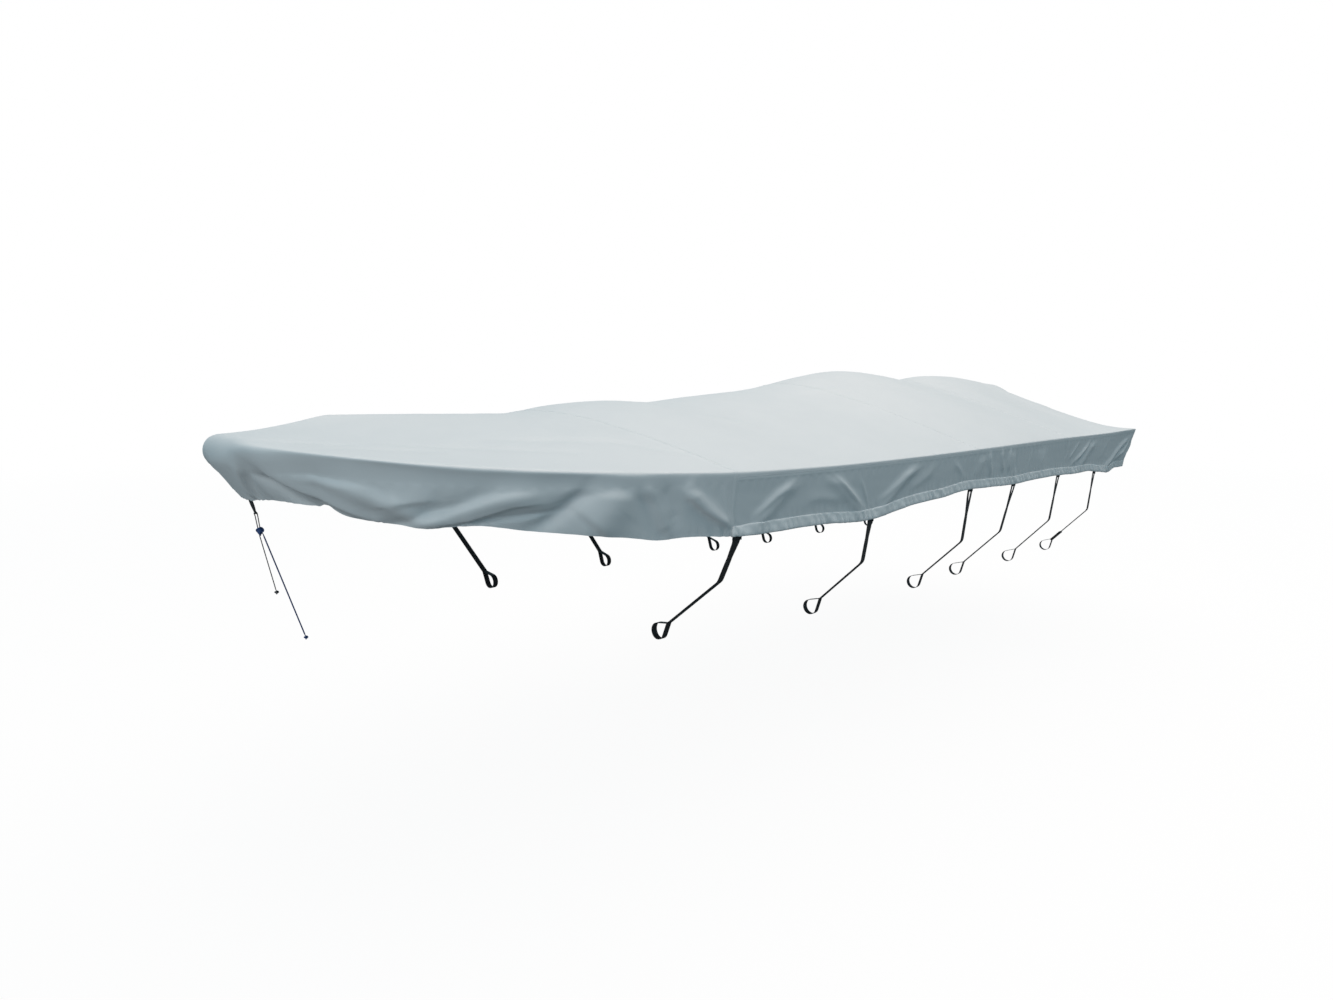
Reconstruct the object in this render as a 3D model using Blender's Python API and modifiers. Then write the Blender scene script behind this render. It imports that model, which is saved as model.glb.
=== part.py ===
"""Fitted boat cover, made in the shape in which it is worn.

The cloth is worked out as lines that run from the ridge out over the rim and down the
skirt to the hem. +X points to the bow, +Y to port and +Z up. The origin lies under the
top cloth, on the centre plane, halfway along the cover. Sizes are in metres.
"""
import math

import bmesh
import bpy
from mathutils import Vector

CLOTH = 0.002              # thickness of the coated cloth
SEAM_GAP = 0.0005          # clear space between two panels at a seam
SEAM_DROP = 0.008          # the seam under the rim lies this far below the rounded edge
HEM_GAP = 0.0008           # clear space between the hem and the tabs sewn behind it
SEAT_GAP = 0.0004          # clear space between a strap or cord and what carries it
CENTRE_AFT = 2.575         # distance from the bow tip back to the origin
ORIGIN_RISE = 0.2376       # height of the origin above the plane of the straight rim

# The rim, from the bow tip to the stern corner. All heights are above the straight rim.
RIM_COLUMNS = ("aft", "half", "rise", "bend", "hem_aft", "hem_in", "power", "hollow")
RIM_ROWS = [
    # back   half    rim    edge    hem     hem     shape of the slope
    # from   width   rise   radius  back    inward  from ridge to rim
    (-0.038, 0.000, 0.145, 0.085, 0.140, 0.000, 1.00, 1.90),
    (-0.014, 0.140, 0.141, 0.085, 0.126, 0.030, 1.00, 1.90),
    (0.048, 0.300, 0.129, 0.080, 0.092, 0.045, 1.00, 1.80),
    (0.150, 0.465, 0.113, 0.070, 0.064, 0.049, 1.00, 1.70),
    (0.290, 0.610, 0.093, 0.060, 0.037, 0.047, 1.05, 1.50),
    (0.490, 0.735, 0.071, 0.050, 0.019, 0.041, 1.10, 1.30),
    (0.760, 0.830, 0.049, 0.040, 0.008, 0.029, 1.25, 1.10),
    (1.000, 0.885, 0.034, 0.030, 0.004, 0.022, 1.35, 1.00),
    (1.220, 0.920, 0.022, 0.020, 0.000, 0.020, 1.40, 1.00),
    (1.700, 0.925, 0.006, 0.012, 0.000, 0.020, 1.40, 1.00),
    (2.300, 0.925, 0.000, 0.010, 0.000, 0.020, 1.35, 1.00),
    (2.880, 0.925, 0.000, 0.010, 0.000, 0.020, 1.30, 1.00),
    (3.970, 0.918, 0.002, 0.010, 0.000, 0.025, 1.15, 1.00),
    (4.600, 0.912, 0.000, 0.010, -0.004, 0.030, 1.10, 1.40),
    (5.150, 0.908, 0.004, 0.010, -0.065, 0.050, 1.10, 1.80),
]
STERN_CORNER_RADIUS = 0.030
STERN_START_ROW = (0.004, 0.010, -0.075, 0.050, 1.10, 2.00)   # rise to hollow, past the corner
STERN_MIDDLE_ROW = (0.080, 0.010, -0.075, 0.000, 2.50, 1.00)

# The ridge that holds up the top: distance back, sideways lean to port, height.
RIDGE_ROWS = [
    (0.360, 0.000, 0.195),
    (0.600, 0.000, 0.192),
    (0.940, -0.020, 0.183),
    (1.084, -0.050, 0.180),
    (1.220, -0.100, 0.186),
    (1.340, -0.100, 0.205),
    (1.570, -0.100, 0.219),
    (1.856, -0.100, 0.209),
    (2.174, -0.150, 0.230),
    (2.761, -0.200, 0.270),
    (3.124, -0.200, 0.3285),
    (3.416, -0.200, 0.3585),
    (3.745, -0.170, 0.336),
    (3.879, -0.140, 0.313),
    (4.274, -0.100, 0.3355),
    (4.546, -0.080, 0.331),
    (4.950, -0.040, 0.290),
    (5.080, -0.030, 0.280),
]
RIDGE_ROUND = 0.10         # share of each slope over which the ridge is rounded
BOW_FAN_AFT = 1.220        # forward of this the lines fan out around the bow
STERN_FAN_AFT = 4.700      # behind this they fan out around the stern

SEAM_AFTS = (1.220, 2.880, 3.970)      # the three seams across the cover
STERN_SEAM_IN = 0.030                  # the upright stern seams lie this far past the corner

# Height of the skirt from rim to hem, by distance along the rim from the bow tip.
HEM_ROWS = [
    (0.000, 0.190), (0.136, 0.178), (0.208, 0.169), (0.300, 0.164), (0.360, 0.163),
    (0.402, 0.160), (0.434, 0.151), (0.488, 0.169), (0.600, 0.172), (0.718, 0.177),
    (0.800, 0.170), (0.875, 0.162), (1.040, 0.173), (1.260, 0.183), (1.350, 0.195),
    (1.437, 0.205), (1.500, 0.199), (1.720, 0.205), (2.160, 0.205), (2.529, 0.219),
    (2.684, 0.205), (2.849, 0.193), (3.050, 0.189), (3.279, 0.177), (3.495, 0.184),
    (3.814, 0.196), (4.078, 0.194), (4.433, 0.201), (4.600, 0.208), (4.876, 0.211),
    (5.020, 0.226), (5.108, 0.234), (5.200, 0.243), (5.275, 0.246), (5.370, 0.233),
    (5.510, 0.236), (5.630, 0.238), (6.560, 0.270),
]

# Folds of the skirts. Each runs from a place near the rim to a place near the hem, given
# by the distance along the rim and the share of the skirt's height. A height below zero
# is a valley.
FOLD_COLUMNS = ("run_top", "share_top", "run_low", "share_low", "width", "height")
PORT_FOLDS = [
    (0.17, 0.05, 0.09, 1.00, 0.030, -0.010),
    (0.18, 0.00, 0.22, 1.00, 0.030, 0.010),
    (0.20, 0.05, 0.38, 1.00, 0.050, -0.022),
    (0.38, -0.10, 0.78, 1.00, 0.085, 0.020),
    (0.82, 0.45, 0.64, 1.05, 0.045, -0.014),
    (1.02, 0.15, 0.76, 0.90, 0.050, 0.016),
    (1.10, 0.50, 0.88, 0.90, 0.040, -0.018),
    (1.21, 0.00, 1.06, 0.85, 0.045, -0.018),
    (1.30, 0.00, 1.22, 0.95, 0.070, 0.018),
    (1.35, 0.05, 1.44, 1.00, 0.045, -0.020),
    (1.51, 0.10, 1.66, 0.80, 0.035, 0.012),
    (2.02, 0.10, 1.83, 0.80, 0.045, 0.009),
    (2.18, 0.05, 2.42, 0.80, 0.045, 0.009),
    (2.86, 0.05, 2.60, 0.80, 0.045, 0.009),
    (3.43, 0.10, 3.38, 0.80, 0.040, 0.006),
    (3.74, 0.05, 3.77, 0.80, 0.040, 0.006),
    (4.10, 0.20, 4.16, 1.00, 0.070, 0.006),
    (4.90, 0.10, 4.72, 0.80, 0.050, 0.009),
    (5.58, 0.10, 5.20, 0.85, 0.055, 0.013),
]
STARBOARD_FOLDS = [
    (0.15, 0.05, 0.11, 1.00, 0.035, -0.010),
    (0.22, 0.05, 0.33, 1.00, 0.050, -0.018),
    (0.42, -0.05, 0.70, 1.00, 0.085, 0.018),
    (0.86, 0.30, 0.72, 1.00, 0.050, -0.014),
    (1.04, 0.05, 0.90, 0.95, 0.060, 0.016),
    (1.16, 0.10, 1.12, 0.90, 0.045, -0.016),
    (1.38, 0.00, 1.26, 0.95, 0.070, 0.016),
    (1.42, 0.05, 1.50, 1.00, 0.045, -0.016),
    (1.56, 0.10, 1.67, 0.80, 0.035, 0.010),
    (1.98, 0.10, 1.82, 0.80, 0.045, 0.009),
    (2.26, 0.05, 2.44, 0.80, 0.045, 0.008),
    (2.80, 0.05, 2.62, 0.80, 0.045, 0.008),
    (3.56, 0.05, 3.44, 0.80, 0.045, 0.007),
    (4.20, 0.20, 4.12, 1.00, 0.070, 0.006),
    (4.86, 0.10, 4.70, 0.80, 0.050, 0.008),
    (5.55, 0.10, 5.22, 0.85, 0.055, 0.011),
    (6.00, 0.10, 5.90, 1.00, 0.070, 0.009),
    (6.34, 0.10, 6.42, 1.00, 0.080, -0.008),
]
STERN_PORT_FOLDS = [
    (5.92, 0.10, 5.98, 1.00, 0.080, -0.008),
    (6.22, 0.10, 6.16, 1.00, 0.080, 0.010),
]
FOLD_EASE = 0.35           # share of a fold's length over which it rises from nothing
STRAP_CALM = 0.060         # the folds die out this close to a strap, at the hem

# Rows of the mesh along each line.
DECK_STOPS = (0.0, 0.07, 0.18, 0.34, 0.52, 0.70, 0.86, 1.0)
BEND_STEPS = 3
BOW_SKIRT_STOPS = (0.20, 0.40, 0.60, 0.80, 1.0)
SIDE_SKIRT_STOPS = (0.28, 0.56, 0.84, 1.0)
BOW_SPACING = 0.052        # distance between lines along the rim
SIDE_SPACING = 0.100
CORNER_STEPS = 2

# Tie-down straps: distance back, half width and height where each turns under and where
# its end loop sits, the width at the hem and the width of the slit between its two runs.
STRAP_COLUMNS = ("aft", "turn_half", "turn_z", "loop_half", "loop_z", "top_width", "slit")
STRAP_ROWS = [
    (1.251, 0.825, -0.345, 0.530, -0.575, 0.038, 0.000),
    (2.032, 0.872, -0.392, 0.640, -0.612, 0.038, 0.000),
    (2.870, 0.871, -0.422, 0.640, -0.650, 0.050, 0.016),
    (3.346, 0.842, -0.440, 0.620, -0.665, 0.050, 0.016),
    (3.942, 0.855, -0.450, 0.640, -0.680, 0.050, 0.016),
    (4.528, 0.855, -0.455, 0.625, -0.700, 0.050, 0.014),
]
STRAP_LOW_WIDTH = 0.026
STRAP_THICK = 0.003        # two layers of webbing
STRAP_TURN_RADIUS = 0.035
STRAP_OVERLAP = 0.016      # length of strap behind the tab
LOOP_RADIUS = 0.028        # inside radius of the loop at a strap's end
SLIT_SHARE = 0.62          # share of the side run over which the two runs part
TAB_WIDTH = 0.044
TAB_THICK = 0.0016
TAB_RISE = 0.026           # the tab reaches this far up behind the hem
TAB_HANG = 0.014           # and this far below it
TAB_FACET = 0.027          # half the flat stretch of hem that carries a tab

BUCKLE_SIZE = (0.040, 0.010, 0.074)    # across the strap, thick, along the strap
BUCKLE_SHARE = 0.80        # where it sits between the turn and the loop

# Bow tie, in the centre plane: x and z of each place.
BOW_TAB_RISE = 0.018       # the tab reaches this far up behind the bow hem
BOW_TAB_END = (2.4530, -0.3266)
BOW_TAB_WIDTHS = (0.022, 0.013)
BOW_TAB_THICK = 0.003
BOW_TAB_EYE = 0.0035       # radius of the eye for the cord
BOW_EYE_UP = 0.0070        # its height above the end of the tab
BOW_KNOT = (2.4443, -0.3788)
BOW_KNOT_RADII = (0.0125, 0.0110, 0.0165)
LOOP_SPREAD = 0.0030       # the loop's two ends enter the knot this far each side of it
LOOP_SOCKET_UP = 0.0090    # and stop this far above its middle
CORD_SPREAD = 0.0046       # likewise the two long cords, below it
CORD_SOCKET_DOWN = 0.0080
FLECK_CORD = 0.003
BLUE_CORD = 0.0042
FLECK_END = (2.4088, -0.5696)
BLUE_END = (2.3300, -0.7276)
END_KNOT_RADIUS = 0.0065

COLLECTION = "boat_cover"


def smooth_value(rows, at, column):
    """Value of a column at a place, on a smooth curve through the rows."""
    last = len(rows) - 1
    at = min(max(at, rows[0][0]), rows[last][0])
    index = 0
    while index < last - 1 and at > rows[index + 1][0]:
        index += 1

    def chord(i):
        return (rows[i + 1][column] - rows[i][column]) / (rows[i + 1][0] - rows[i][0])

    def slope(i):
        if i == 0:
            return chord(0)
        if i == last:
            return chord(last - 1)
        before = rows[i][0] - rows[i - 1][0]
        after = rows[i + 1][0] - rows[i][0]
        return (chord(i - 1) * after + chord(i) * before) / (before + after)

    step = rows[index + 1][0] - rows[index][0]
    u = (at - rows[index][0]) / step
    return hermite(rows[index][column], rows[index + 1][column],
                   slope(index) * step, slope(index + 1) * step, u)


def hermite(start, end, slope_start, slope_end, u):
    """Cubic from start to end with the slopes given at both."""
    return ((2 * u ** 3 - 3 * u ** 2 + 1) * start + (u ** 3 - 2 * u ** 2 + u) * slope_start
            + (3 * u ** 2 - 2 * u ** 3) * end + (u ** 3 - u ** 2) * slope_end)


def smooth_step(low, high, value):
    """0 below low, 1 above high, with a soft rise between."""
    u = min(max((value - low) / (high - low), 0.0), 1.0)
    return u * u * (3 - 2 * u)


def rim_path():
    """Plan points of the port rim, with the distance run at each and at each row."""
    steps = 16
    rows = [Vector(row[:2]) for row in RIM_ROWS]
    ahead = Vector((rows[1].x, -rows[1].y))
    past = rows[-1] * 2 - rows[-2]
    knots = [ahead] + rows + [past]
    points = []
    for i in range(1, len(knots) - 2):
        before, start, end, after = knots[i - 1:i + 3]
        span = (end - start).length
        slope_start = (end - before) * (span / ((start - before).length + span))
        slope_end = (after - start) * (span / ((after - end).length + span))
        for k in range(steps):
            points.append(hermite(start, end, slope_start, slope_end, k / steps))
    row_indices = [i * steps for i in range(len(rows))]
    points.append(rows[-1])
    centre = rows[-1] - Vector((0, STERN_CORNER_RADIUS))
    for k in range(1, 9):
        angle = math.pi / 2 * k / 8
        points.append(centre + STERN_CORNER_RADIUS * Vector((math.sin(angle), math.cos(angle))))
    row_indices.append(len(points) - 1)
    corner = points[-1]
    for k in range(1, 21):
        points.append(Vector((corner.x, corner.y * (1 - k / 20))))
    row_indices.append(len(points) - 1)
    runs = [0.0]
    for a, b in zip(points, points[1:]):
        runs.append(runs[-1] + (b - a).length)
    return points, runs, [runs[i] for i in row_indices]


PATH_POINTS, PATH_RUNS, ROW_RUNS = rim_path()
RUN_CORNER = ROW_RUNS[-3]
RUN_STERN = ROW_RUNS[-2]
RUN_END = ROW_RUNS[-1]
RIM_TABLE = [(run,) + tuple(row[2:]) for run, row in zip(
    ROW_RUNS, RIM_ROWS + [(0, 0) + STERN_START_ROW, (0, 0) + STERN_MIDDLE_ROW])]


def rim_plan(run):
    """Distance back and half width of the rim at a distance along it."""
    if run < 0:
        mirrored = rim_plan(-run)
        return Vector((mirrored.x, -mirrored.y))
    run = min(run, RUN_END)
    index = 0
    while index < len(PATH_RUNS) - 2 and run > PATH_RUNS[index + 1]:
        index += 1
    share = (run - PATH_RUNS[index]) / (PATH_RUNS[index + 1] - PATH_RUNS[index])
    return PATH_POINTS[index].lerp(PATH_POINTS[index + 1], share)


def run_at(aft):
    """Distance along the rim at which it has come back this far."""
    low, high = 0.0, RUN_CORNER
    for _ in range(50):
        middle = (low + high) / 2
        if rim_plan(middle).x < aft:
            low = middle
        else:
            high = middle
    return low


RUN_BOW_FAN = run_at(BOW_FAN_AFT)
RUN_STERN_FAN = run_at(STERN_FAN_AFT)
SEAM_RUNS = [run_at(aft) for aft in SEAM_AFTS]
SEAM_RUNS.append(RUN_STERN + STERN_SEAM_IN)
STRAP_RUNS = [run_at(row[0]) for row in STRAP_ROWS]


def outward(run):
    """Unit plan direction square to the rim, as (back, half)."""
    reach = 0.010
    along = rim_plan(min(run + reach, RUN_END)) - rim_plan(run - reach)
    along.normalize()
    return Vector((-along.y, along.x))


def rim_value(run, name):
    return smooth_value(RIM_TABLE, run, RIM_COLUMNS.index(name) - 1)


def ridge_foot(run):
    """How far back on the ridge the line for this place on the rim starts."""
    if run <= RUN_BOW_FAN:
        fore = RIDGE_ROWS[0][0]
        return fore + (BOW_FAN_AFT - fore) * run / RUN_BOW_FAN
    if run <= RUN_STERN_FAN:
        return rim_plan(run).x
    share = (run - RUN_STERN_FAN) / (RUN_END - RUN_STERN_FAN)
    return STERN_FAN_AFT + (RIDGE_ROWS[-1][0] - STERN_FAN_AFT) * share


def place(aft, port, height):
    """Point in the cover's own frame."""
    return Vector((CENTRE_AFT - aft, port, height - ORIGIN_RISE))


def slope_share(w, power, hollow):
    """Height left at a share w of the way from ridge to rim, from 1 down to 0."""
    rounded = (math.hypot(w, RIDGE_ROUND) - RIDGE_ROUND) / (math.hypot(1, RIDGE_ROUND) - RIDGE_ROUND)
    return max(1 - rounded ** power, 0.0) ** hollow


def fold_push(side, run, share):
    """How far the folds push the skirt outward here."""
    folds = PORT_FOLDS + STERN_PORT_FOLDS if side > 0 else STARBOARD_FOLDS
    push = 0.0
    for run_top, share_top, run_low, share_low, width, height in folds:
        if abs(run - (run_top + run_low) / 2) > 5 * width + abs(run_top - run_low):
            continue
        k = (share - share_top) / (share_low - share_top)
        centre = run_top + (run_low - run_top) * k
        across = math.exp(-((run - centre) / width) ** 2)
        along = smooth_step(-0.1, FOLD_EASE, k) * (1 - 0.6 * smooth_step(0.85, 1.35, k))
        push += height * across * along
    push *= smooth_step(0.05, 0.30, share)
    for strap in STRAP_RUNS:
        near = math.exp(-((run - strap) / STRAP_CALM) ** 2)
        push *= 1 - near * smooth_step(0.35, 0.8, share)
    return push


def cover_line(side, run, skirt_stops):
    """Outer points from the ridge over the rim to the hem: deck, bend and skirt lists.

    The bend ends, and the skirt starts, half a seam gap from the seam under the rim.
    """
    rim = rim_plan(run)
    out = outward(run)
    rise = rim_value(run, "rise")
    power = rim_value(run, "power")
    hollow = rim_value(run, "hollow")
    foot = ridge_foot(run)
    ridge = Vector((foot, smooth_value(RIDGE_ROWS, foot, 1), smooth_value(RIDGE_ROWS, foot, 2)))
    corner = Vector((rim.x, side * rim.y, rise))
    hem_half = max(rim.y - rim_value(run, "hem_in"), 0.0)
    hem = Vector((rim.x + rim_value(run, "hem_aft"), side * hem_half,
                  rise - smooth_value(HEM_ROWS, run, 1)))
    reach = 0.85 * rim_value(run, "bend")
    last_w = 1 - reach / (corner - ridge).to_2d().length

    def on_deck(w):
        point = ridge.lerp(corner, w)
        point.z = corner.z + (ridge.z - corner.z) * slope_share(w, power, hollow)
        return point

    deck = [on_deck(last_w * stop) for stop in DECK_STOPS]
    down = (hem - corner).normalized()
    bend_start = deck[-1]
    bend_end = corner + down * reach
    turn = (corner - bend_start).angle(down)
    weight = math.cos(turn / 2)
    bend = []
    for k in range(1, BEND_STEPS + 1):
        u = k / BEND_STEPS
        parts = ((1 - u) ** 2, 2 * u * (1 - u) * weight, u ** 2)
        bend.append((bend_start * parts[0] + corner * parts[1] + bend_end * parts[2]) / sum(parts))
    bend.append(bend_end + down * (SEAM_DROP - SEAM_GAP / 2))
    skirt = [bend_end + down * (SEAM_DROP + SEAM_GAP / 2)]
    push_way = Vector((out.x, side * out.y, 0))
    for share in skirt_stops:
        point = bend_end.lerp(hem, share)
        skirt.append(point + push_way * fold_push(side, run, share))
    return ([place(*p) for p in deck], [place(*p) for p in bend], [place(*p) for p in skirt])


def line_runs(start, end, spacing):
    """Places for the lines between two runs, with a flat stretch at each strap."""
    fixed = [start, end]
    for strap in STRAP_RUNS:
        for edge in (strap - TAB_FACET, strap + TAB_FACET):
            if start + 0.004 < edge < end - 0.004:
                fixed.append(edge)
    if start < RUN_CORNER < end:
        fixed.append(RUN_CORNER)
    if start < RUN_STERN < end:
        fixed.append(RUN_STERN)
    fixed.sort()
    runs = []
    for a, b in zip(fixed, fixed[1:]):
        is_corner = abs(a - RUN_CORNER) < 1e-6 and abs(b - RUN_STERN) < 1e-3
        count = CORNER_STEPS if is_corner else max(1, math.ceil((b - a) / spacing - 0.2))
        runs += [a + (b - a) * k / count for k in range(count)]
    return runs + [end]


def cloth_material(name, colour):
    material = bpy.data.materials.new(name)
    material.use_nodes = True
    shader = material.node_tree.nodes["Principled BSDF"]
    shader.inputs["Base Color"].default_value = colour
    shader.inputs["Roughness"].default_value = 0.75
    shader.inputs["Metallic"].default_value = 0.0
    return material


def add_object(name, mesh, material):
    mesh.name = name
    mesh.materials.append(material)
    obj = bpy.data.objects.new(name, mesh)
    parts.objects.link(obj)
    return obj


def thicken(obj, thickness):
    """Give an open sheet its thickness, inward from its outer face."""
    solid = obj.modifiers.new("Thickness", 'SOLIDIFY')
    solid.thickness = thickness
    solid.offset = -1
    solid.use_quality_normals = True
    return obj


def add_sheet(name, strips, material, thickness=CLOTH):
    """Cloth from strips of points; a strip's lines all have the same number of points."""
    mesh = bpy.data.meshes.new(name)
    form = bmesh.new()
    for lines, turned in strips:
        grid = [[form.verts.new(p) for p in line] for line in lines]
        for left, right in zip(grid, grid[1:]):
            for k in range(len(left) - 1):
                ring = [left[k], left[k + 1], right[k + 1], right[k]]
                form.faces.new(reversed(ring) if turned else ring)
    bmesh.ops.remove_doubles(form, verts=form.verts, dist=0.00005)
    flat = [face for face in form.faces if face.calc_area() < 1e-9]
    bmesh.ops.delete(form, geom=flat, context='FACES')
    form.to_mesh(mesh)
    form.free()
    mesh.shade_smooth()
    return thicken(add_object(name, mesh, material), thickness)


def add_bow_panel():
    """Fore deck with its own skirt on both sides, in one piece of cloth."""
    runs = line_runs(0.0, SEAM_RUNS[0] - SEAM_GAP / 2, BOW_SPACING)
    strips = []
    for side in (1, -1):
        lines = []
        for run in runs:
            deck, bend, skirt = cover_line(side, run, BOW_SKIRT_STOPS)
            lines.append(deck + bend[:-1] + skirt[1:])
        strips.append((lines, side < 0))
    add_sheet("bow_panel", strips, cloth_material("bow_cloth", (0.66, 0.71, 0.74, 1)))


def add_deck_panel(name, start, end):
    """Top panel that crosses the cover between two seams and ends just below the rim."""
    runs = line_runs(start + SEAM_GAP / 2, end, SIDE_SPACING)
    strips = []
    for side in (1, -1):
        lines = []
        for run in runs:
            deck, bend, _ = cover_line(side, run, SIDE_SKIRT_STOPS)
            lines.append(deck + bend)
        strips.append((lines, side < 0))
    add_sheet(name, strips, cloth_material(name + "_cloth", (0.68, 0.72, 0.74, 1)))


def skirt_lines(side, runs):
    return [cover_line(side, run, SIDE_SKIRT_STOPS)[2] for run in runs]


def add_side_skirt(name, side, start, end):
    runs = line_runs(start + SEAM_GAP / 2, end - SEAM_GAP / 2, SIDE_SPACING)
    add_sheet(name, [(skirt_lines(side, runs), side < 0)],
              cloth_material(name + "_cloth", (0.42, 0.50, 0.54, 1)))


def add_stern_skirt():
    runs = line_runs(SEAM_RUNS[3] + SEAM_GAP / 2, RUN_END, SIDE_SPACING)
    strips = [(skirt_lines(side, runs), side < 0) for side in (1, -1)]
    add_sheet("stern_skirt", strips, cloth_material("stern_cloth", (0.42, 0.50, 0.54, 1)))


def hem_facet(side, run):
    """The flat stretch of hem at a strap: its four corners, upper pair first."""
    stops = BOW_SKIRT_STOPS if run < SEAM_RUNS[0] else SIDE_SKIRT_STOPS
    corners = []
    for edge in (run - TAB_FACET, run + TAB_FACET):
        skirt = cover_line(side, edge, stops)[2]
        corners.append((skirt[-2], skirt[-1]))
    return corners


class HemSeat:
    """Axes at the middle of a strap's stretch of hem: along it, out from it and down it."""

    def __init__(self, side, run):
        (self.up_a, self.low_a), (self.up_b, self.low_b) = hem_facet(side, run)
        self.origin = (self.low_a + self.low_b) / 2
        top = (self.up_a + self.up_b) / 2
        self.down = (self.origin - top).normalized()
        self.along = (self.low_b - self.low_a).normalized()
        self.out = self.down.cross(self.along) * side
        self.out.normalize()
        if self.out.y * side < 0:
            self.out.negate()
        self.plan_out = Vector((self.out.x, self.out.y, 0)).normalized()

    def at(self, along, down, inward):
        return self.origin + self.along * along + self.down * down - self.out * inward


def webbing_material(name):
    material = bpy.data.materials.new(name)
    material.use_nodes = True
    shader = material.node_tree.nodes["Principled BSDF"]
    shader.inputs["Base Color"].default_value = (0.012, 0.012, 0.014, 1)
    shader.inputs["Roughness"].default_value = 0.6
    return material


def add_strap_tab(name, side, seat, material):
    """Short webbing tab behind the hem, which carries a strap."""
    behind = CLOTH + HEM_GAP
    lines = []
    for k in range(3):
        along = TAB_WIDTH * (k / 2 - 0.5)
        lines.append([seat.at(along, down, behind) for down in (-TAB_RISE, 0.0, TAB_HANG)])
    add_sheet(name, [(lines, side < 0)], material, TAB_THICK)


def rounded_path(points, radius):
    """Flat path with each inner corner cut by a short arc."""
    path = [points[0]]
    for before, corner, after in zip(points, points[1:], points[2:]):
        back = (before - corner).normalized()
        onward = (after - corner).normalized()
        turn = math.pi - back.angle(onward)
        cut = min(radius * math.tan(turn / 2), 0.45 * (after - corner).length)
        start, end = corner + back * cut, corner + onward * cut
        for u in (0.0, 0.5, 1.0):
            path.append(start.lerp(corner, u).lerp(corner.lerp(end, u), u))
    return path + [points[-1]]


def side_points(path, offset):
    """Points of a flat path moved to its left by an offset."""
    moved = []
    for k, point in enumerate(path):
        before = path[max(k - 1, 0)]
        after = path[min(k + 1, len(path) - 1)]
        ahead = (after - before).normalized()
        moved.append(point + Vector((-ahead.y, ahead.x)) * offset)
    return moved


def band_outline(path, thick, loop_radius):
    """Outline of a band that ends in a round loop, and the outline of the loop's hole."""
    ahead = (path[-1] - path[-2]).normalized()
    outer_radius = loop_radius + thick / 2
    centre = path[-1] + ahead * outer_radius
    back_angle = math.atan2(-ahead.y, -ahead.x)
    opening = math.asin(thick / 2 / outer_radius)
    ring = []
    steps = 14
    for k in range(steps + 1):
        angle = back_angle - opening - (2 * math.pi - 2 * opening) * k / steps
        ring.append(centre + outer_radius * Vector((math.cos(angle), math.sin(angle))))
    left = side_points(path, thick / 2)
    right = side_points(path, -thick / 2)
    outline = left[:-1] + ring + right[-2::-1]
    inner = loop_radius - thick / 2
    hole = [centre + inner * Vector((math.cos(2 * math.pi * k / 12), math.sin(2 * math.pi * k / 12)))
            for k in range(12)]
    return outline, hole


def plate_mesh(name, outlines, half_depth):
    """Flat plate from closed outlines, as a mesh with its caps joined to its walls."""
    curve = bpy.data.curves.new(name, 'CURVE')
    curve.dimensions = '2D'
    curve.fill_mode = 'BOTH'
    curve.extrude = half_depth
    for outline in outlines:
        spline = curve.splines.new('POLY')
        spline.points.add(len(outline) - 1)
        spline.use_cyclic_u = True
        for point, place_2d in zip(spline.points, outline):
            point.co = (place_2d.x, place_2d.y, 0, 1)
    holder = bpy.data.objects.new(name + "_outline", curve)
    parts.objects.link(holder)
    bpy.context.view_layer.update()
    evaluated = holder.evaluated_get(bpy.context.evaluated_depsgraph_get())
    mesh = bpy.data.meshes.new_from_object(evaluated)
    bpy.data.objects.remove(holder)
    form = bmesh.new()
    form.from_mesh(mesh)
    bmesh.ops.remove_doubles(form, verts=form.verts, dist=0.00002)
    bmesh.ops.recalc_face_normals(form, faces=form.faces)
    form.to_mesh(mesh)
    form.free()
    return mesh


def add_cutter(name, mesh):
    cutter = bpy.data.objects.new(name, mesh)
    cutter.hide_render = True
    cutter.display_type = 'WIRE'
    cutters.objects.link(cutter)
    return cutter


def cut(obj, cutter):
    difference = obj.modifiers.new("Cut", 'BOOLEAN')
    difference.operation = 'DIFFERENCE'
    difference.solver = 'EXACT'
    difference.object = cutter


def place_mesh(mesh, origin, across, up, deep):
    """Move a mesh so that its x, y and z lie along the three directions given."""
    for vertex in mesh.vertices:
        x, y, z = vertex.co
        vertex.co = origin + across * x + up * y + deep * z
    mesh.update()


def face_outward(mesh):
    form = bmesh.new()
    form.from_mesh(mesh)
    bmesh.ops.recalc_face_normals(form, faces=form.faces)
    form.to_mesh(mesh)
    form.free()


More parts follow.
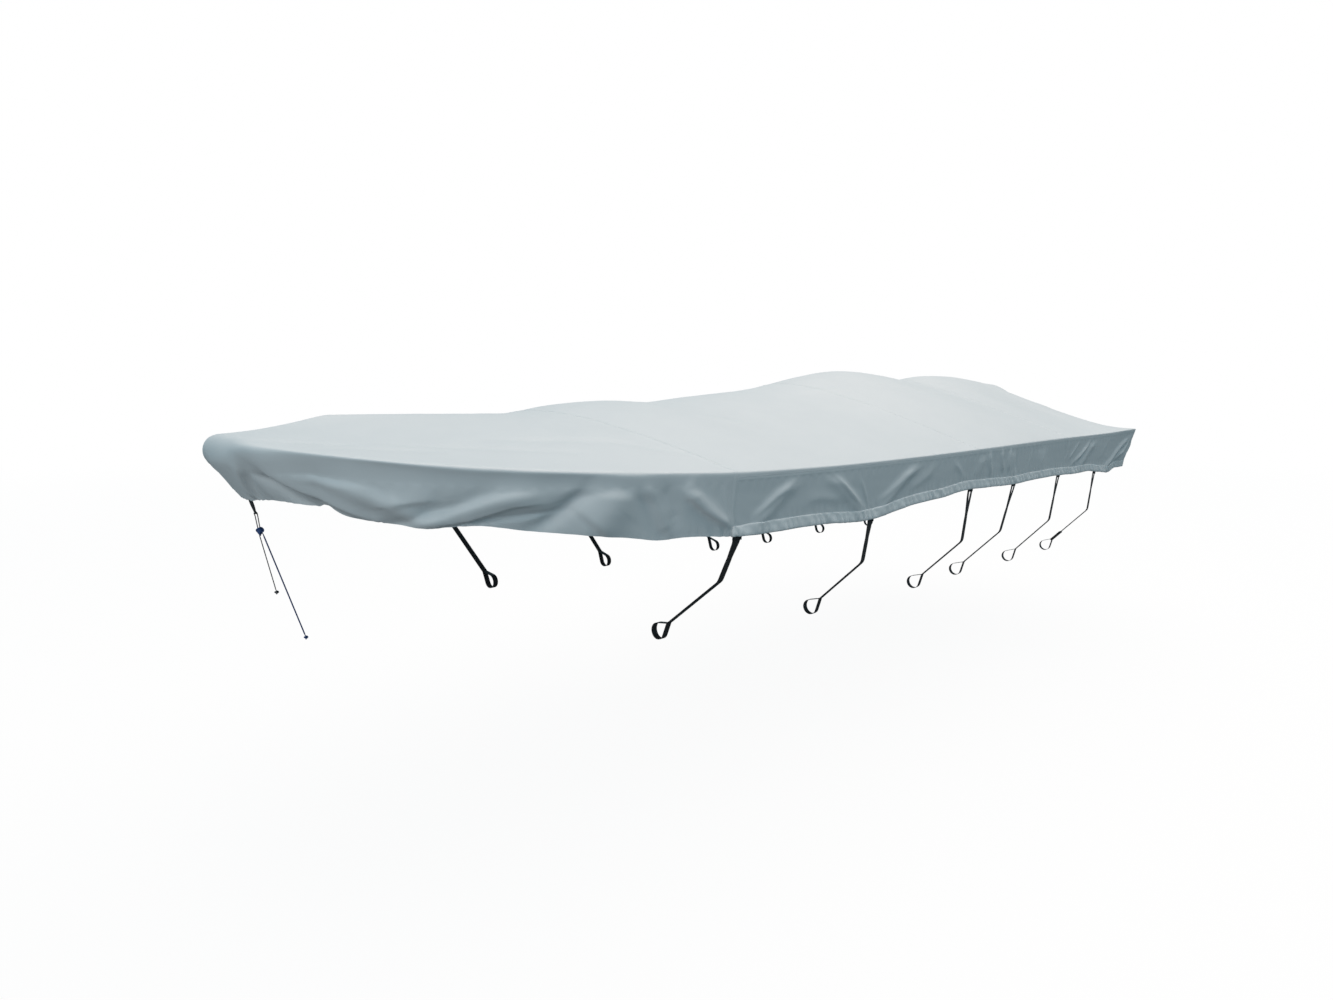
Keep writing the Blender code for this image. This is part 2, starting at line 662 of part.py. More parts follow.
def add_strap(name, side, row, seat, material):
    """Doubled webbing from behind the tab, down, round the turn and into its end loop."""
    values = dict(zip(STRAP_COLUMNS, row))
    behind = CLOTH + HEM_GAP + TAB_THICK + SEAT_GAP + STRAP_THICK / 2
    high = seat.at(0, -STRAP_OVERLAP, behind)
    low = seat.at(0, TAB_HANG + 0.006, behind)

    def flat(point):
        return Vector(((point - seat.origin).dot(seat.plan_out), point.z))

    def inward_place(half, height):
        in_by = abs(seat.origin.y) - half
        return Vector((-in_by, height - ORIGIN_RISE))

    turn = inward_place(values["turn_half"], values["turn_z"])
    loop = inward_place(values["loop_half"], values["loop_z"])
    stop = loop + (turn - loop).normalized() * (LOOP_RADIUS + STRAP_THICK / 2)
    path = rounded_path([flat(high), flat(low), turn, stop], STRAP_TURN_RADIUS)
    outline, hole = band_outline(path, STRAP_THICK, LOOP_RADIUS)
    mesh = plate_mesh(name, [outline, hole], 0.5)
    run_start, run_end = flat(low), turn
    widen_over = run_start.y - run_end.y
    is_split = values["slit"] > 0
    for vertex in mesh.vertices:
        share = min(max((vertex.co.y - run_end.y) / widen_over, 0.0), 1.0)
        low_width = STRAP_LOW_WIDTH if is_split else values["top_width"]
        vertex.co.z *= low_width + (values["top_width"] - low_width) * share
    along = Vector((seat.plan_out.y, -seat.plan_out.x, 0))
    ground = Vector((seat.origin.x, seat.origin.y, 0))
    place_mesh(mesh, ground, seat.plan_out, Vector((0, 0, 1)), along)
    face_outward(mesh)
    strap = add_object(name, mesh, material)
    if is_split:
        slit_low = run_start.lerp(run_end, SLIT_SHARE)
        slit_high = run_start + (run_start - run_end) * 0.02
        width = values["slit"]
        wedge = [Vector((-width / 2, 0)), Vector((width / 2, 0)),
                 Vector((0.0006, -(slit_high - slit_low).length)),
                 Vector((-0.0006, -(slit_high - slit_low).length))]
        slit = plate_mesh(name + "_slit", [wedge], 0.012)
        slope = (slit_high - slit_low).normalized()
        up = seat.plan_out * slope.x + Vector((0, 0, slope.y))
        place_mesh(slit, ground + seat.plan_out * slit_high.x + Vector((0, 0, slit_high.y)),
                   along, up, along.cross(up))
        face_outward(slit)
        cut(strap, add_cutter(name + "_slit", slit))
    return ground, seat.plan_out, along, turn, stop


def add_buckle(name, laid_strap, material):
    """Flat plastic buckle that the strap runs through."""
    ground, out, along, turn, stop = laid_strap
    middle = turn.lerp(stop, BUCKLE_SHARE)
    slope = (turn - stop).normalized()
    up = out * slope.x + Vector((0, 0, slope.y))
    centre = ground + out * middle.x + Vector((0, 0, middle.y))
    wide, thick, long = BUCKLE_SIZE
    sizes = {name: (wide, long, thick),
             name + "_slot": (STRAP_LOW_WIDTH + 0.0016, long * 1.4, STRAP_THICK + 0.0010)}
    blocks = []
    for block_name, size in sizes.items():
        mesh = bpy.data.meshes.new(block_name)
        form = bmesh.new()
        bmesh.ops.create_cube(form, size=1.0)
        for vertex in form.verts:
            vertex.co = Vector(a * b for a, b in zip(vertex.co, size))
        form.to_mesh(mesh)
        form.free()
        place_mesh(mesh, centre, along, up, along.cross(up))
        face_outward(mesh)
        blocks.append(mesh)
    body = add_object(name, blocks[0], material)
    bevel = body.modifiers.new("Edges", 'BEVEL')
    bevel.width = 0.0020
    bevel.segments = 1
    cut(body, add_cutter(name + "_slot", blocks[1]))


def centre_place(spot):
    return Vector((spot[0], 0, spot[1]))


def add_bow_tab(material):
    """Webbing tab behind the bow hem, with an eye near its end. Gives the eye's centre."""
    skirt = cover_line(1, 0.0, BOW_SKIRT_STOPS)[2]
    slope = (skirt[-1] - skirt[-2]).normalized()
    inward = Vector((slope.z, 0, -slope.x))
    behind = CLOTH + HEM_GAP + BOW_TAB_THICK / 2
    hem = skirt[-1] + inward * behind
    spots = [hem - slope * BOW_TAB_RISE, hem + slope * 0.001, centre_place(BOW_TAB_END)]
    path = rounded_path([Vector((spot.x, spot.z)) for spot in spots], 0.006)
    outline = side_points(path, BOW_TAB_THICK / 2) + side_points(path, -BOW_TAB_THICK / 2)[::-1]
    mesh = plate_mesh("bow_tab", [outline], 0.5)
    low, high = BOW_TAB_END[1], hem.z
    for vertex in mesh.vertices:
        share = min(max((vertex.co.y - low) / (high - low), 0.0), 1.0)
        vertex.co.z *= BOW_TAB_WIDTHS[1] + (BOW_TAB_WIDTHS[0] - BOW_TAB_WIDTHS[1]) * share
    across = Vector((0, -1, 0))
    place_mesh(mesh, Vector(), Vector((1, 0, 0)), Vector((0, 0, 1)), across)
    face_outward(mesh)
    tab = add_object("bow_tab", mesh, material)
    run = (spots[1] - spots[2]).normalized()
    square = run.cross(across)
    eye = spots[2] + run * BOW_EYE_UP
    ring = [BOW_TAB_EYE * Vector((math.cos(math.pi * k / 5), math.sin(math.pi * k / 5)))
            for k in range(10)]
    hole = plate_mesh("bow_eye", [ring], 0.006)
    place_mesh(hole, eye, across, run, square)
    face_outward(hole)
    cut(tab, add_cutter("bow_eye", hole))
    return eye, run, square


def add_cord(name, points, diameter, material):
    """Round cord on a smooth route through a few points."""
    curve = bpy.data.curves.new(name, 'CURVE')
    curve.dimensions = '3D'
    curve.bevel_depth = diameter / 2
    curve.bevel_resolution = 2
    curve.use_fill_caps = True
    route = []
    for i in range(len(points) - 1):
        before = points[max(i - 1, 0)]
        after = points[min(i + 2, len(points) - 1)]
        start, end = points[i], points[i + 1]
        steps = max(1, round((end - start).length / (6 * diameter)))
        for k in range(steps):
            route.append(hermite(start, end, (end - before) / 2, (after - start) / 2, k / steps))
    route.append(points[-1])
    spline = curve.splines.new('POLY')
    spline.points.add(len(route) - 1)
    for point, spot in zip(spline.points, route):
        point.co = (spot.x, spot.y, spot.z, 1)
    curve.materials.append(material)
    obj = bpy.data.objects.new(name, curve)
    parts.objects.link(obj)


def add_knot(name, centre, radii, material, cord_ends):
    """Rounded knot with a socket for each cord: where its centre line ends, the way out
    along it, and its diameter."""
    mesh = bpy.data.meshes.new(name)
    form = bmesh.new()
    bmesh.ops.create_uvsphere(form, u_segments=12, v_segments=8, radius=1.0)
    for vertex in form.verts:
        vertex.co = centre + Vector(a * b for a, b in zip(vertex.co, radii))
    form.to_mesh(mesh)
    form.free()
    mesh.shade_smooth()
    knot = add_object(name, mesh, material)
    for number, (foot, way, diameter) in enumerate(cord_ends, start=1):
        radius = (diameter / 2 + SEAT_GAP) / math.cos(math.pi / 12)
        ring = [radius * Vector((math.cos(math.pi * k / 6), math.sin(math.pi * k / 6)))
                for k in range(12)]
        reach = max(radii)
        socket = plate_mesh(f"{name}_socket_{number}", [ring], reach / 2)
        across = way.cross(Vector((0, 1, 0))).normalized()
        place_mesh(socket, foot + way * (reach / 2 - SEAT_GAP), across, way.cross(across), way)
        face_outward(socket)
        cut(knot, add_cutter(socket.name, socket))


def cord_material(name, colour):
    material = webbing_material(name)
    material.node_tree.nodes["Principled BSDF"].inputs["Base Color"].default_value = colour
    return material


def add_bow_tie():
    """Cord loop through the tab's eye, the knot, and the two cords that go down from it."""
    webbing = webbing_material("bow_webbing")
    blue = cord_material("blue_cord", (0.06, 0.11, 0.26, 1))
    fleck = cord_material("fleck_cord", (0.16, 0.16, 0.17, 1))
    eye, up, square = add_bow_tab(webbing)
    knot = centre_place(BOW_KNOT)
    ease = FLECK_CORD / 2 + SEAT_GAP
    seat = eye - up * (BOW_TAB_EYE - ease)
    clear = BOW_TAB_THICK / 2 + ease + 0.0003
    loop, ends = [], []
    for way in (1, -1):
        foot = knot + up * LOOP_SOCKET_UP + square * way * LOOP_SPREAD
        low = eye - up * (BOW_EYE_UP + 0.004) + square * way * clear
        strand = [foot, foot.lerp(low, 0.5), low,
                  eye - up * 0.0050 + square * way * (clear + 0.0004),
                  seat - up * 0.0006 + square * way * (clear - 0.0010)]
        loop += strand + [seat] if way > 0 else strand[::-1]
        ends.append((foot, (low - foot).normalized(), FLECK_CORD))
    add_cord("bow_loop_cord", loop, FLECK_CORD, fleck)
    for name, end, diameter, shift, material in (
            ("bow_fleck", FLECK_END, FLECK_CORD, CORD_SPREAD, fleck),
            ("bow_blue", BLUE_END, BLUE_CORD, -CORD_SPREAD, blue)):
        finish = centre_place(end)
        aim = (finish - knot).normalized()
        foot = knot + Vector((shift, 0, 0)) + aim * CORD_SOCKET_DOWN
        ends.append((foot, (finish - foot).normalized(), diameter))
        add_cord(name + "_cord", [foot.lerp(finish, k / 4) for k in range(5)], diameter, material)
        along = (finish - foot).normalized()
        add_knot(name + "_end_knot", finish + along * END_KNOT_RADIUS / 3,
                 (END_KNOT_RADIUS,) * 3, material, [(finish, -along, diameter)])
    add_knot("bow_knot", knot, BOW_KNOT_RADII, blue, ends)


for old in list(bpy.data.objects):
    bpy.data.objects.remove(old)
parts = bpy.data.collections.new(COLLECTION)
cutters = bpy.data.collections.new("cutters")
bpy.context.scene.collection.children.link(parts)
bpy.context.scene.collection.children.link(cutters)

add_bow_panel()
add_deck_panel("deck_forward", SEAM_RUNS[0], SEAM_RUNS[1] - SEAM_GAP / 2)
add_deck_panel("deck_middle", SEAM_RUNS[1], SEAM_RUNS[2] - SEAM_GAP / 2)
add_deck_panel("deck_aft", SEAM_RUNS[2], RUN_END)
for side_name, side in (("port", 1), ("starboard", -1)):
    stretches = zip(("forward", "middle", "aft"), SEAM_RUNS, SEAM_RUNS[1:])
    for stretch_name, start, end in stretches:
        add_side_skirt(f"skirt_{side_name}_{stretch_name}", side, start, end)
add_stern_skirt()

for side_name, side in (("port", 1), ("starboard", -1)):
    for number, (row, run) in enumerate(zip(STRAP_ROWS, STRAP_RUNS), start=1):
        seat = HemSeat(side, run)
        tab_webbing = webbing_material(f"tab_webbing_{side_name}_{number}")
        strap_webbing = webbing_material(f"strap_webbing_{side_name}_{number}")
        add_strap_tab(f"tab_{side_name}_{number}", side, seat, tab_webbing)
        laid = add_strap(f"strap_{side_name}_{number}", side, row, seat, strap_webbing)
        if side > 0 and number == len(STRAP_ROWS):
            add_buckle("strap_buckle", laid, webbing_material("buckle_plastic"))
add_bow_tie()
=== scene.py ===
"""Fitted boat cover of pale grey coated cloth, with webbing tie-downs and a cord tie at the bow."""
import math

import bmesh
import bpy
import numpy as np
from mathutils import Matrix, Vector


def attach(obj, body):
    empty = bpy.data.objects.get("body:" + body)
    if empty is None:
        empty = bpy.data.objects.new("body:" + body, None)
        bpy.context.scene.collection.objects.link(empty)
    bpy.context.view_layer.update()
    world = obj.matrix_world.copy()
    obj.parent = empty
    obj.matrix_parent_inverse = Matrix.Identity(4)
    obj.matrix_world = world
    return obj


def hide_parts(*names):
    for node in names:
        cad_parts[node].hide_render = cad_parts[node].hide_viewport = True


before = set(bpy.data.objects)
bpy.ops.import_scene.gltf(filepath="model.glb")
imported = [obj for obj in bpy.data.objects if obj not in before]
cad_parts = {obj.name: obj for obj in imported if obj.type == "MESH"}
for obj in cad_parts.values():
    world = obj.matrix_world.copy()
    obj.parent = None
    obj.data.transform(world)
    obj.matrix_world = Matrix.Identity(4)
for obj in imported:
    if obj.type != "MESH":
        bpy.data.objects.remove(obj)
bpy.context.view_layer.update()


# View and light
# The cover is seen from off its port bow through a wide lens, a little above the rim. A broad soft
# panel overhead, a soft fill before the bow and a faint cool light all round fall on it, over a
# plain pale floor that turns white far off.
def add_object(name, data):
    piece = bpy.data.objects.new(name, data)
    bpy.context.collection.objects.link(piece)
    return piece


def turn_to(piece, way):
    piece.rotation_euler = Vector(way).to_track_quat("-Z", "Y").to_euler()


def add_panel(name, size, energy, color, location):
    """Square soft light. It shines down until it is turned."""
    panel = add_object(name, bpy.data.lights.new(name, "AREA"))
    panel.data.size, panel.data.energy, panel.data.color = size, energy, color
    panel.location = location
    return panel


def join(tree, node, inputs):
    """Inputs of a node set to values, or joined to the outputs of other nodes."""
    for label, value in inputs.items():
        if isinstance(value, bpy.types.NodeSocket):
            tree.links.new(value, node.inputs[label])
        else:
            node.inputs[label].default_value = value
    return node


def add_node(tree, kind, inputs, **settings):
    node = tree.nodes.new(kind)
    for label, value in settings.items():
        setattr(node, label, value)
    return join(tree, node, inputs)


def new_material(name):
    """Material, its node tree and its main shader."""
    material = bpy.data.materials.new(name)
    material.use_nodes = True
    return material, material.node_tree, material.node_tree.nodes["Principled BSDF"]


camera = add_object("camera", bpy.data.cameras.new("camera"))
camera.data.sensor_width, camera.data.lens, camera.data.clip_end = 36, 22.74, 200
camera.location = (3.332, 2.590, 0.0564)
turn_to(camera, (-0.7006, -0.7001, -0.1380))
bpy.context.scene.camera = camera
bpy.context.scene.view_settings.view_transform = "Standard"
add_panel("soft_panel", 14, 1385, (1.0, 0.803, 0.704), (-3.2, 0.6, 9))
bow_fill = add_panel("bow_fill", 5, 190, (1.0, 0.935, 0.905), (8.8, 2.9, 2.2))
turn_to(bow_fill, (-7.0, -2.2, -2.4))

world = bpy.data.worlds.new("studio_air")
bpy.context.scene.world = world
world.use_nodes = True
air = world.node_tree
cool_air = join(air, air.nodes["Background"], {"Color": (0.48, 0.86, 1.02, 1), "Strength": 0.40})
backdrop = add_node(air, "ShaderNodeBackground", {"Color": (1, 1, 1, 1)})
rays = add_node(air, "ShaderNodeLightPath", {})
air_seen = add_node(air, "ShaderNodeMixShader", {
    0: rays.outputs["Is Camera Ray"], 1: cool_air.outputs[0], 2: backdrop.outputs[0]})
join(air, air.nodes["World Output"], {"Surface": air_seen.outputs[0]})

floor_level, floor_reach = -1.474, 60
floor_paint, paint, floor_lit = new_material("floor_paint")
join(paint, floor_lit, {"Base Color": (0.14, 0.155, 0.165, 1), "Roughness": 0.9})
pale = add_node(paint, "ShaderNodeBsdfDiffuse", {"Color": (0.92, 0.92, 0.92, 1)})
white = add_node(paint, "ShaderNodeEmission", {"Color": (1, 1, 1, 1)})
spot = add_node(paint, "ShaderNodeTexCoord", {})
far = add_node(paint, "ShaderNodeVectorMath", {0: spot.outputs["Object"]}, operation="LENGTH")
whiter = add_node(paint, "ShaderNodeMapRange", {
    "Value": far.outputs["Value"], "From Min": 3.5, "From Max": 16.0,
    "To Min": 0.95, "To Max": 1.0})
floor_seen = add_node(paint, "ShaderNodeMixShader", {
    0: whiter.outputs["Result"], 1: pale.outputs[0], 2: white.outputs[0]})
rays = add_node(paint, "ShaderNodeLightPath", {})
floor_mix = add_node(paint, "ShaderNodeMixShader", {
    0: rays.outputs["Is Camera Ray"], 1: floor_lit.outputs[0], 2: floor_seen.outputs[0]})
join(paint, paint.nodes["Material Output"], {"Surface": floor_mix.outputs[0]})
floor_mesh = bpy.data.meshes.new("floor")
floor_mesh.from_pydata([(x * floor_reach, y * floor_reach, floor_level) for x, y in
                        ((-1, -1), (1, -1), (1, 1), (-1, 1))], [], [(0, 1, 2, 3)])
floor_mesh.materials.append(floor_paint)
add_object("floor", floor_mesh)


# Bow panel
# Coated polyester in one piece makes the fore deck and, over a soft rounded edge, its own skirt
# on both sides. It is laid line by line, from the ridge that holds it up, over the rim, down to
# the hem, and the hanging part falls into slanting folds.
centre_aft, origin_rise = 2.575, 0.2376
# The tables of the rim, ridge, hem, creases and wrinkles are in millimetres.
bow_seam_aft, stern_fan_aft = 1.220, 4.700
rim_units = [1000] * 6 + [1] * 2
rim_rows = np.array([      # back, half width, rise, bend, hem back, hem in, power, hollow
    (-38, 0, 145, 85, 140, 0, 1, 1.9), (-14, 140, 141, 85, 126, 30, 1, 1.9),
    (48, 300, 129, 80, 92, 45, 1, 1.8), (150, 465, 113, 70, 64, 49, 1, 1.7),
    (290, 610, 93, 60, 37, 47, 1.05, 1.5), (490, 735, 71, 50, 19, 41, 1.1, 1.3),
    (760, 830, 49, 40, 8, 29, 1.25, 1.1), (1000, 885, 34, 30, 4, 22, 1.35, 1),
    (1220, 920, 22, 20, 0, 20, 1.4, 1), (1700, 925, 6, 12, 0, 20, 1.4, 1),
    (2300, 925, 0, 10, 0, 20, 1.35, 1), (2880, 925, 0, 10, 0, 20, 1.3, 1),
    (3970, 918, 2, 10, 0, 25, 1.15, 1), (4600, 912, 0, 10, -4, 30, 1.1, 1.4),
    (5150, 908, 4, 10, -65, 50, 1.1, 1.8),
]) / rim_units
rim_steps, stern_corner_radius = 16, 0.030
stern_rows = np.array([
    (4, 10, -75, 50, 1.1, 2), (80, 10, -75, 0, 2.5, 1),
]) / rim_units[2:]
ridge_rows = np.array([     # back, lean to port, height
    (360, 0, 195), (600, 0, 192), (940, -20, 183), (1084, -50, 180), (1220, -100, 186),
    (1340, -100, 205), (1570, -100, 219), (1856, -100, 209), (2174, -150, 230), (2761, -200, 270),
    (3124, -200, 328.5), (3416, -200, 358.5), (3745, -170, 336), (3879, -140, 313),
    (4274, -100, 335.5), (4546, -80, 331), (4950, -40, 290), (5080, -30, 280),
]) / 1000
ridge_round = 0.10
hem_rows = np.array([       # distance along the rim from the bow tip, height of the skirt
    (0, 190), (136, 178), (208, 169), (300, 164), (360, 163), (402, 160), (434, 151), (488, 169),
    (600, 172), (718, 177), (800, 170), (875, 162), (1040, 173), (1260, 183), (1350, 195),
    (1437, 205), (1500, 199), (1720, 205), (2160, 205), (2529, 219), (2684, 205), (2849, 193),
    (3050, 189), (3279, 177), (3495, 184), (3814, 196), (4078, 194), (4433, 201), (4600, 208),
    (4876, 211), (5020, 226), (5108, 234), (5200, 243), (5275, 246), (5370, 233), (5510, 236),
    (5630, 238), (6560, 270),
]) / 1000


def cubic(start, end, leave, arrive, u):
    return ((2 * u ** 3 - 3 * u ** 2 + 1) * start + (u ** 3 - 2 * u ** 2 + u) * leave
            + (3 * u ** 2 - 2 * u ** 3) * end + (u ** 3 - u ** 2) * arrive)


def smooth_value(rows, at, column):
    """Values of a column on a smooth curve through the rows."""
    stops, values = rows[:, 0], rows[:, column]
    steps = np.diff(stops)
    chords = np.diff(values) / steps
    inner = (chords[:-1] * steps[1:] + chords[1:] * steps[:-1]) / (steps[:-1] + steps[1:])
    slopes = np.concatenate([chords[:1], inner, chords[-1:]])
    at = np.clip(at, stops[0], stops[-1])
    i = np.clip(np.searchsorted(stops, at, side="right") - 1, 0, len(steps) - 1)
    return cubic(values[i], values[i + 1], slopes[i] * steps[i], slopes[i + 1] * steps[i],
                 (at - stops[i]) / steps[i])


def smooth_step(low, high, value):
    u = np.clip((value - low) / (high - low), 0, 1)
    return u * u * (3 - 2 * u)


def bell(off, width):
    """One at the middle of a bump, and nothing a few widths away."""
    return np.exp(-(off / width) ** 2)


def ripple(at, pitch, shift=0.0):
    return np.sin(2 * math.pi * at / pitch + shift)


def gone(points, axis=0):
    """Distance travelled from the first of the points, along an axis of their array."""
    first = np.take(points, [0], axis)
    steps = np.linalg.norm(np.diff(points, axis=axis, prepend=first), axis=-1)
    return np.cumsum(steps, axis=axis)


def trace_rim():
    """Plan points of the rim from bow tip to the middle of the stern, and which are rows."""
    past = 2 * rim_rows[-1, :2] - rim_rows[-2, :2]
    knots = np.vstack([rim_rows[1, :2] * (1, -1), rim_rows[:, :2], past])
    u = np.linspace(0, 1, rim_steps, endpoint=False)[:, None]
    path = []
    for before, start, end, after in zip(knots, knots[1:], knots[2:], knots[3:]):
        first, span, last = (np.linalg.norm(b - a) for a, b in
                             ((before, start), (start, end), (end, after)))
        path.append(cubic(start, end, (end - before) * span / (first + span),
                          (after - start) * span / (last + span), u))
    turn = np.linspace(0, math.pi / 2, 9)
    centre = rim_rows[-1, :2] - (0, stern_corner_radius)
    arc = centre + stern_corner_radius * np.stack([np.sin(turn), np.cos(turn)], 1)
    transom = arc[-1] * np.stack([np.ones(20), np.linspace(0.95, 0, 20)], 1)
    last_row = rim_steps * (len(rim_rows) - 1)
    places = list(range(0, last_row + 1, rim_steps)) + [last_row + len(turn) - 1]
    path = np.vstack(path + [arc, transom])
    return path, places + [len(path) - 1]


rim_points, row_places = trace_rim()
rim_runs = gone(rim_points)
rim_table = np.column_stack([rim_runs[row_places], np.vstack([rim_rows[:, 2:], stern_rows])])
run_stern, run_end = rim_table[-2, 0], rim_table[-1, 0]


def rim_plan(run):
    """How far back and how wide the rim is, at a distance along it."""
    far = np.minimum(np.abs(run), run_end)
    return (np.interp(far, rim_runs, rim_points[:, 0]),
            np.interp(far, rim_runs, rim_points[:, 1]) * np.where(run < 0, -1, 1))


def run_at(aft):
    """Distance along the rim, on the straight sides, at which it has come back this far."""
    sides = rim_steps * (len(rim_rows) - 1) + 1
    return float(np.interp(aft, rim_points[:sides, 0], rim_runs[:sides]))


run_bow_fan, run_stern_fan = run_at(bow_seam_aft), run_at(stern_fan_aft)
seam_afts = (bow_seam_aft, 2.880, 3.970)
seam_runs = [run_at(aft) for aft in seam_afts] + [run_stern + 0.030]
seam_drop = 0.008
strap_afts = (1.251, 2.032, 2.870, 3.346, 3.942, 4.528)
strap_runs = [run_at(aft) for aft in strap_afts]

# Folds of the hanging part: where each starts near the rim and ends near the hem, as distance
# along the rim and share of the skirt's height, then half its width and how far it stands out.
port_folds = [
    (0.17, 0.05, 0.09, 1.00, 0.030, -0.010), (0.18, 0.00, 0.22, 1.00, 0.030, 0.010),
    (0.20, 0.05, 0.38, 1.00, 0.050, -0.022), (0.38, -0.10, 0.78, 1.00, 0.085, 0.020),
    (0.82, 0.45, 0.64, 1.05, 0.045, -0.014), (1.02, 0.15, 0.76, 0.90, 0.050, 0.016),
    (1.10, 0.50, 0.88, 0.90, 0.040, -0.018), (1.21, 0.00, 1.06, 0.85, 0.045, -0.018),
    (1.30, 0.00, 1.22, 0.95, 0.070, 0.018), (1.35, 0.05, 1.44, 1.00, 0.045, -0.020),
    (1.51, 0.10, 1.66, 0.80, 0.035, 0.012), (2.02, 0.10, 1.83, 0.80, 0.045, 0.009),
    (2.18, 0.05, 2.42, 0.80, 0.045, 0.009), (2.86, 0.05, 2.60, 0.80, 0.045, 0.009),
    (3.43, 0.10, 3.38, 0.80, 0.040, 0.006), (3.74, 0.05, 3.77, 0.80, 0.040, 0.006),
    (4.10, 0.20, 4.16, 1.00, 0.070, 0.006), (4.90, 0.10, 4.72, 0.80, 0.050, 0.009),
    (5.58, 0.10, 5.20, 0.85, 0.055, 0.013), (5.92, 0.10, 5.98, 1.00, 0.080, -0.008),
    (6.22, 0.10, 6.16, 1.00, 0.080, 0.010),
]
starboard_folds = [
    (0.15, 0.05, 0.11, 1.00, 0.035, -0.010), (0.22, 0.05, 0.33, 1.00, 0.050, -0.018),
    (0.42, -0.05, 0.70, 1.00, 0.085, 0.018), (0.86, 0.30, 0.72, 1.00, 0.050, -0.014),
    (1.04, 0.05, 0.90, 0.95, 0.060, 0.016), (1.16, 0.10, 1.12, 0.90, 0.045, -0.016),
    (1.38, 0.00, 1.26, 0.95, 0.070, 0.016), (1.42, 0.05, 1.50, 1.00, 0.045, -0.016),
    (1.56, 0.10, 1.67, 0.80, 0.035, 0.010), (1.98, 0.10, 1.82, 0.80, 0.045, 0.009),
    (2.26, 0.05, 2.44, 0.80, 0.045, 0.008), (2.80, 0.05, 2.62, 0.80, 0.045, 0.008),
    (3.56, 0.05, 3.44, 0.80, 0.045, 0.007), (4.20, 0.20, 4.12, 1.00, 0.070, 0.006),
    (4.86, 0.10, 4.70, 0.80, 0.050, 0.008), (5.55, 0.10, 5.22, 0.85, 0.055, 0.011),
    (6.00, 0.10, 5.90, 1.00, 0.070, 0.009), (6.34, 0.10, 6.42, 1.00, 0.080, -0.008),
]
# Creases that sharpen the folds: three places down each line, as distance along the rim and
# distance below its edge, then how far the crease spreads above and below it, and its height.
creases = np.array([
    (190, 50, 370, 120, 600, 182, 50, 18, 16), (150, 72, 100, 155, 70, 225, 24, 12, 7),
    (480, 78, 670, 128, 740, 170, 45, 28, 7), (790, 95, 720, 108, 650, 130, 34, 12, 10),
    (950, 50, 870, 92, 810, 140, 22, 22, -6), (1090, 90, 980, 100, 820, 162, 40, 9, 14),
    (1220, 16, 1120, 112, 1060, 160, 18, 20, -8), (1300, 20, 1260, 90, 1200, 165, 75, 85, 21),
    (1360, 28, 1410, 90, 1460, 182, 16, 34, 8), (1420, 30, 1470, 100, 1490, 150, 18, 18, -5),
    (1510, 20, 1530, 50, 1540, 85, 26, 26, 5), (1490, 45, 1580, 114, 1690, 172, 22, 9, 9),
    (1650, 40, 1670, 95, 1690, 150, 6, 6, 3), (360, 45, 800, 40, 1260, 32, 18, 22, -5),
    (2030, 28, 1900, 88, 1790, 160, 13, 12, 6), (2050, 120, 2170, 112, 2300, 132, 34, 20, 4),
    (2220, 26, 2320, 92, 2440, 172, 14, 9, 8), (2400, 50, 2440, 105, 2480, 168, 7, 7, 4),
    (2840, 20, 2700, 88, 2550, 166, 16, 15, 6), (3000, 42, 2900, 90, 2780, 140, 24, 22, 4),
    (3120, 30, 3200, 80, 3280, 135, 14, 14, 3), (3480, 10, 3500, 70, 3530, 132, 14, 14, 8),
    (3610, 8, 3630, 70, 3660, 125, 12, 12, 8), (3720, 8, 3710, 70, 3720, 120, 12, 12, 7),
    (3790, 18, 3800, 80, 3820, 142, 8, 8, -4), (3980, 32, 3970, 80, 3960, 138, 10, 10, 3),
    (4160, 30, 4140, 80, 4110, 130, 12, 12, 2), (4490, 14, 4490, 70, 4480, 130, 6, 6, 4),
    (4660, 20, 4590, 70, 4520, 125, 9, 9, 4), (4840, 26, 4690, 109, 4540, 175, 11, 9, 9),
    (5160, 30, 5100, 90, 5040, 150, 16, 16, 2), (5610, 40, 5510, 140, 5310, 205, 15, 12, 12),
    (5660, 60, 5640, 120, 5600, 190, 10, 10, 5), (6040, 30, 6020, 100, 6000, 170, 12, 12, 4),
    (6300, 30, 6330, 100, 6370, 170, 14, 14, 4),
]) / 1000
# Shallow troughs and rises of the top, as places back and to port, half width and height.
# After them, how strongly they show, and the low relief of the seams and of the bow's nose.
deck_wrinkles = np.array([
    (60, 160, 300, 360, 20, -3), (160, 340, 500, 500, 16, -2.2), (340, 340, 900, 660, 22, -2.6),
    (640, 380, 1180, 600, 24, -2.8), (1020, 520, 1200, 720, 18, -2.4),
    (460, -260, 1000, -560, 30, -2.4), (200, -300, 620, -520, 24, -2),
    (1240, 620, 1660, 500, 30, -1.8), (1700, 280, 1840, 520, 40, 2.2),
    (2720, 0, 3100, 200, 30, 2.2), (2500, 500, 2860, 300, 35, -1.6),
    (3200, 160, 3700, 420, 40, -2), (3980, 100, 4360, 340, 24, 1.6),
    (4200, 300, 4900, 620, 40, -2.2), (4620, 300, 5080, 500, 30, 1.8),
    (1500, -400, 2200, -620, 45, -2.2), (2600, -520, 3300, -440, 40, -2),
    (4000, -400, 4800, -600, 40, -2.2), (4980, 300, 5120, 620, 22, 2.4),
    (4980, -300, 5120, -600, 22, 2.2),
]) / 1000
wrinkle_depth, seam_rise, seam_draw = 1.7, 0.0008, 0.0006
welt_rise, rim_pucker, nose_sink = 0.0005, 0.0007, 0.007
gather_pitch = 0.043


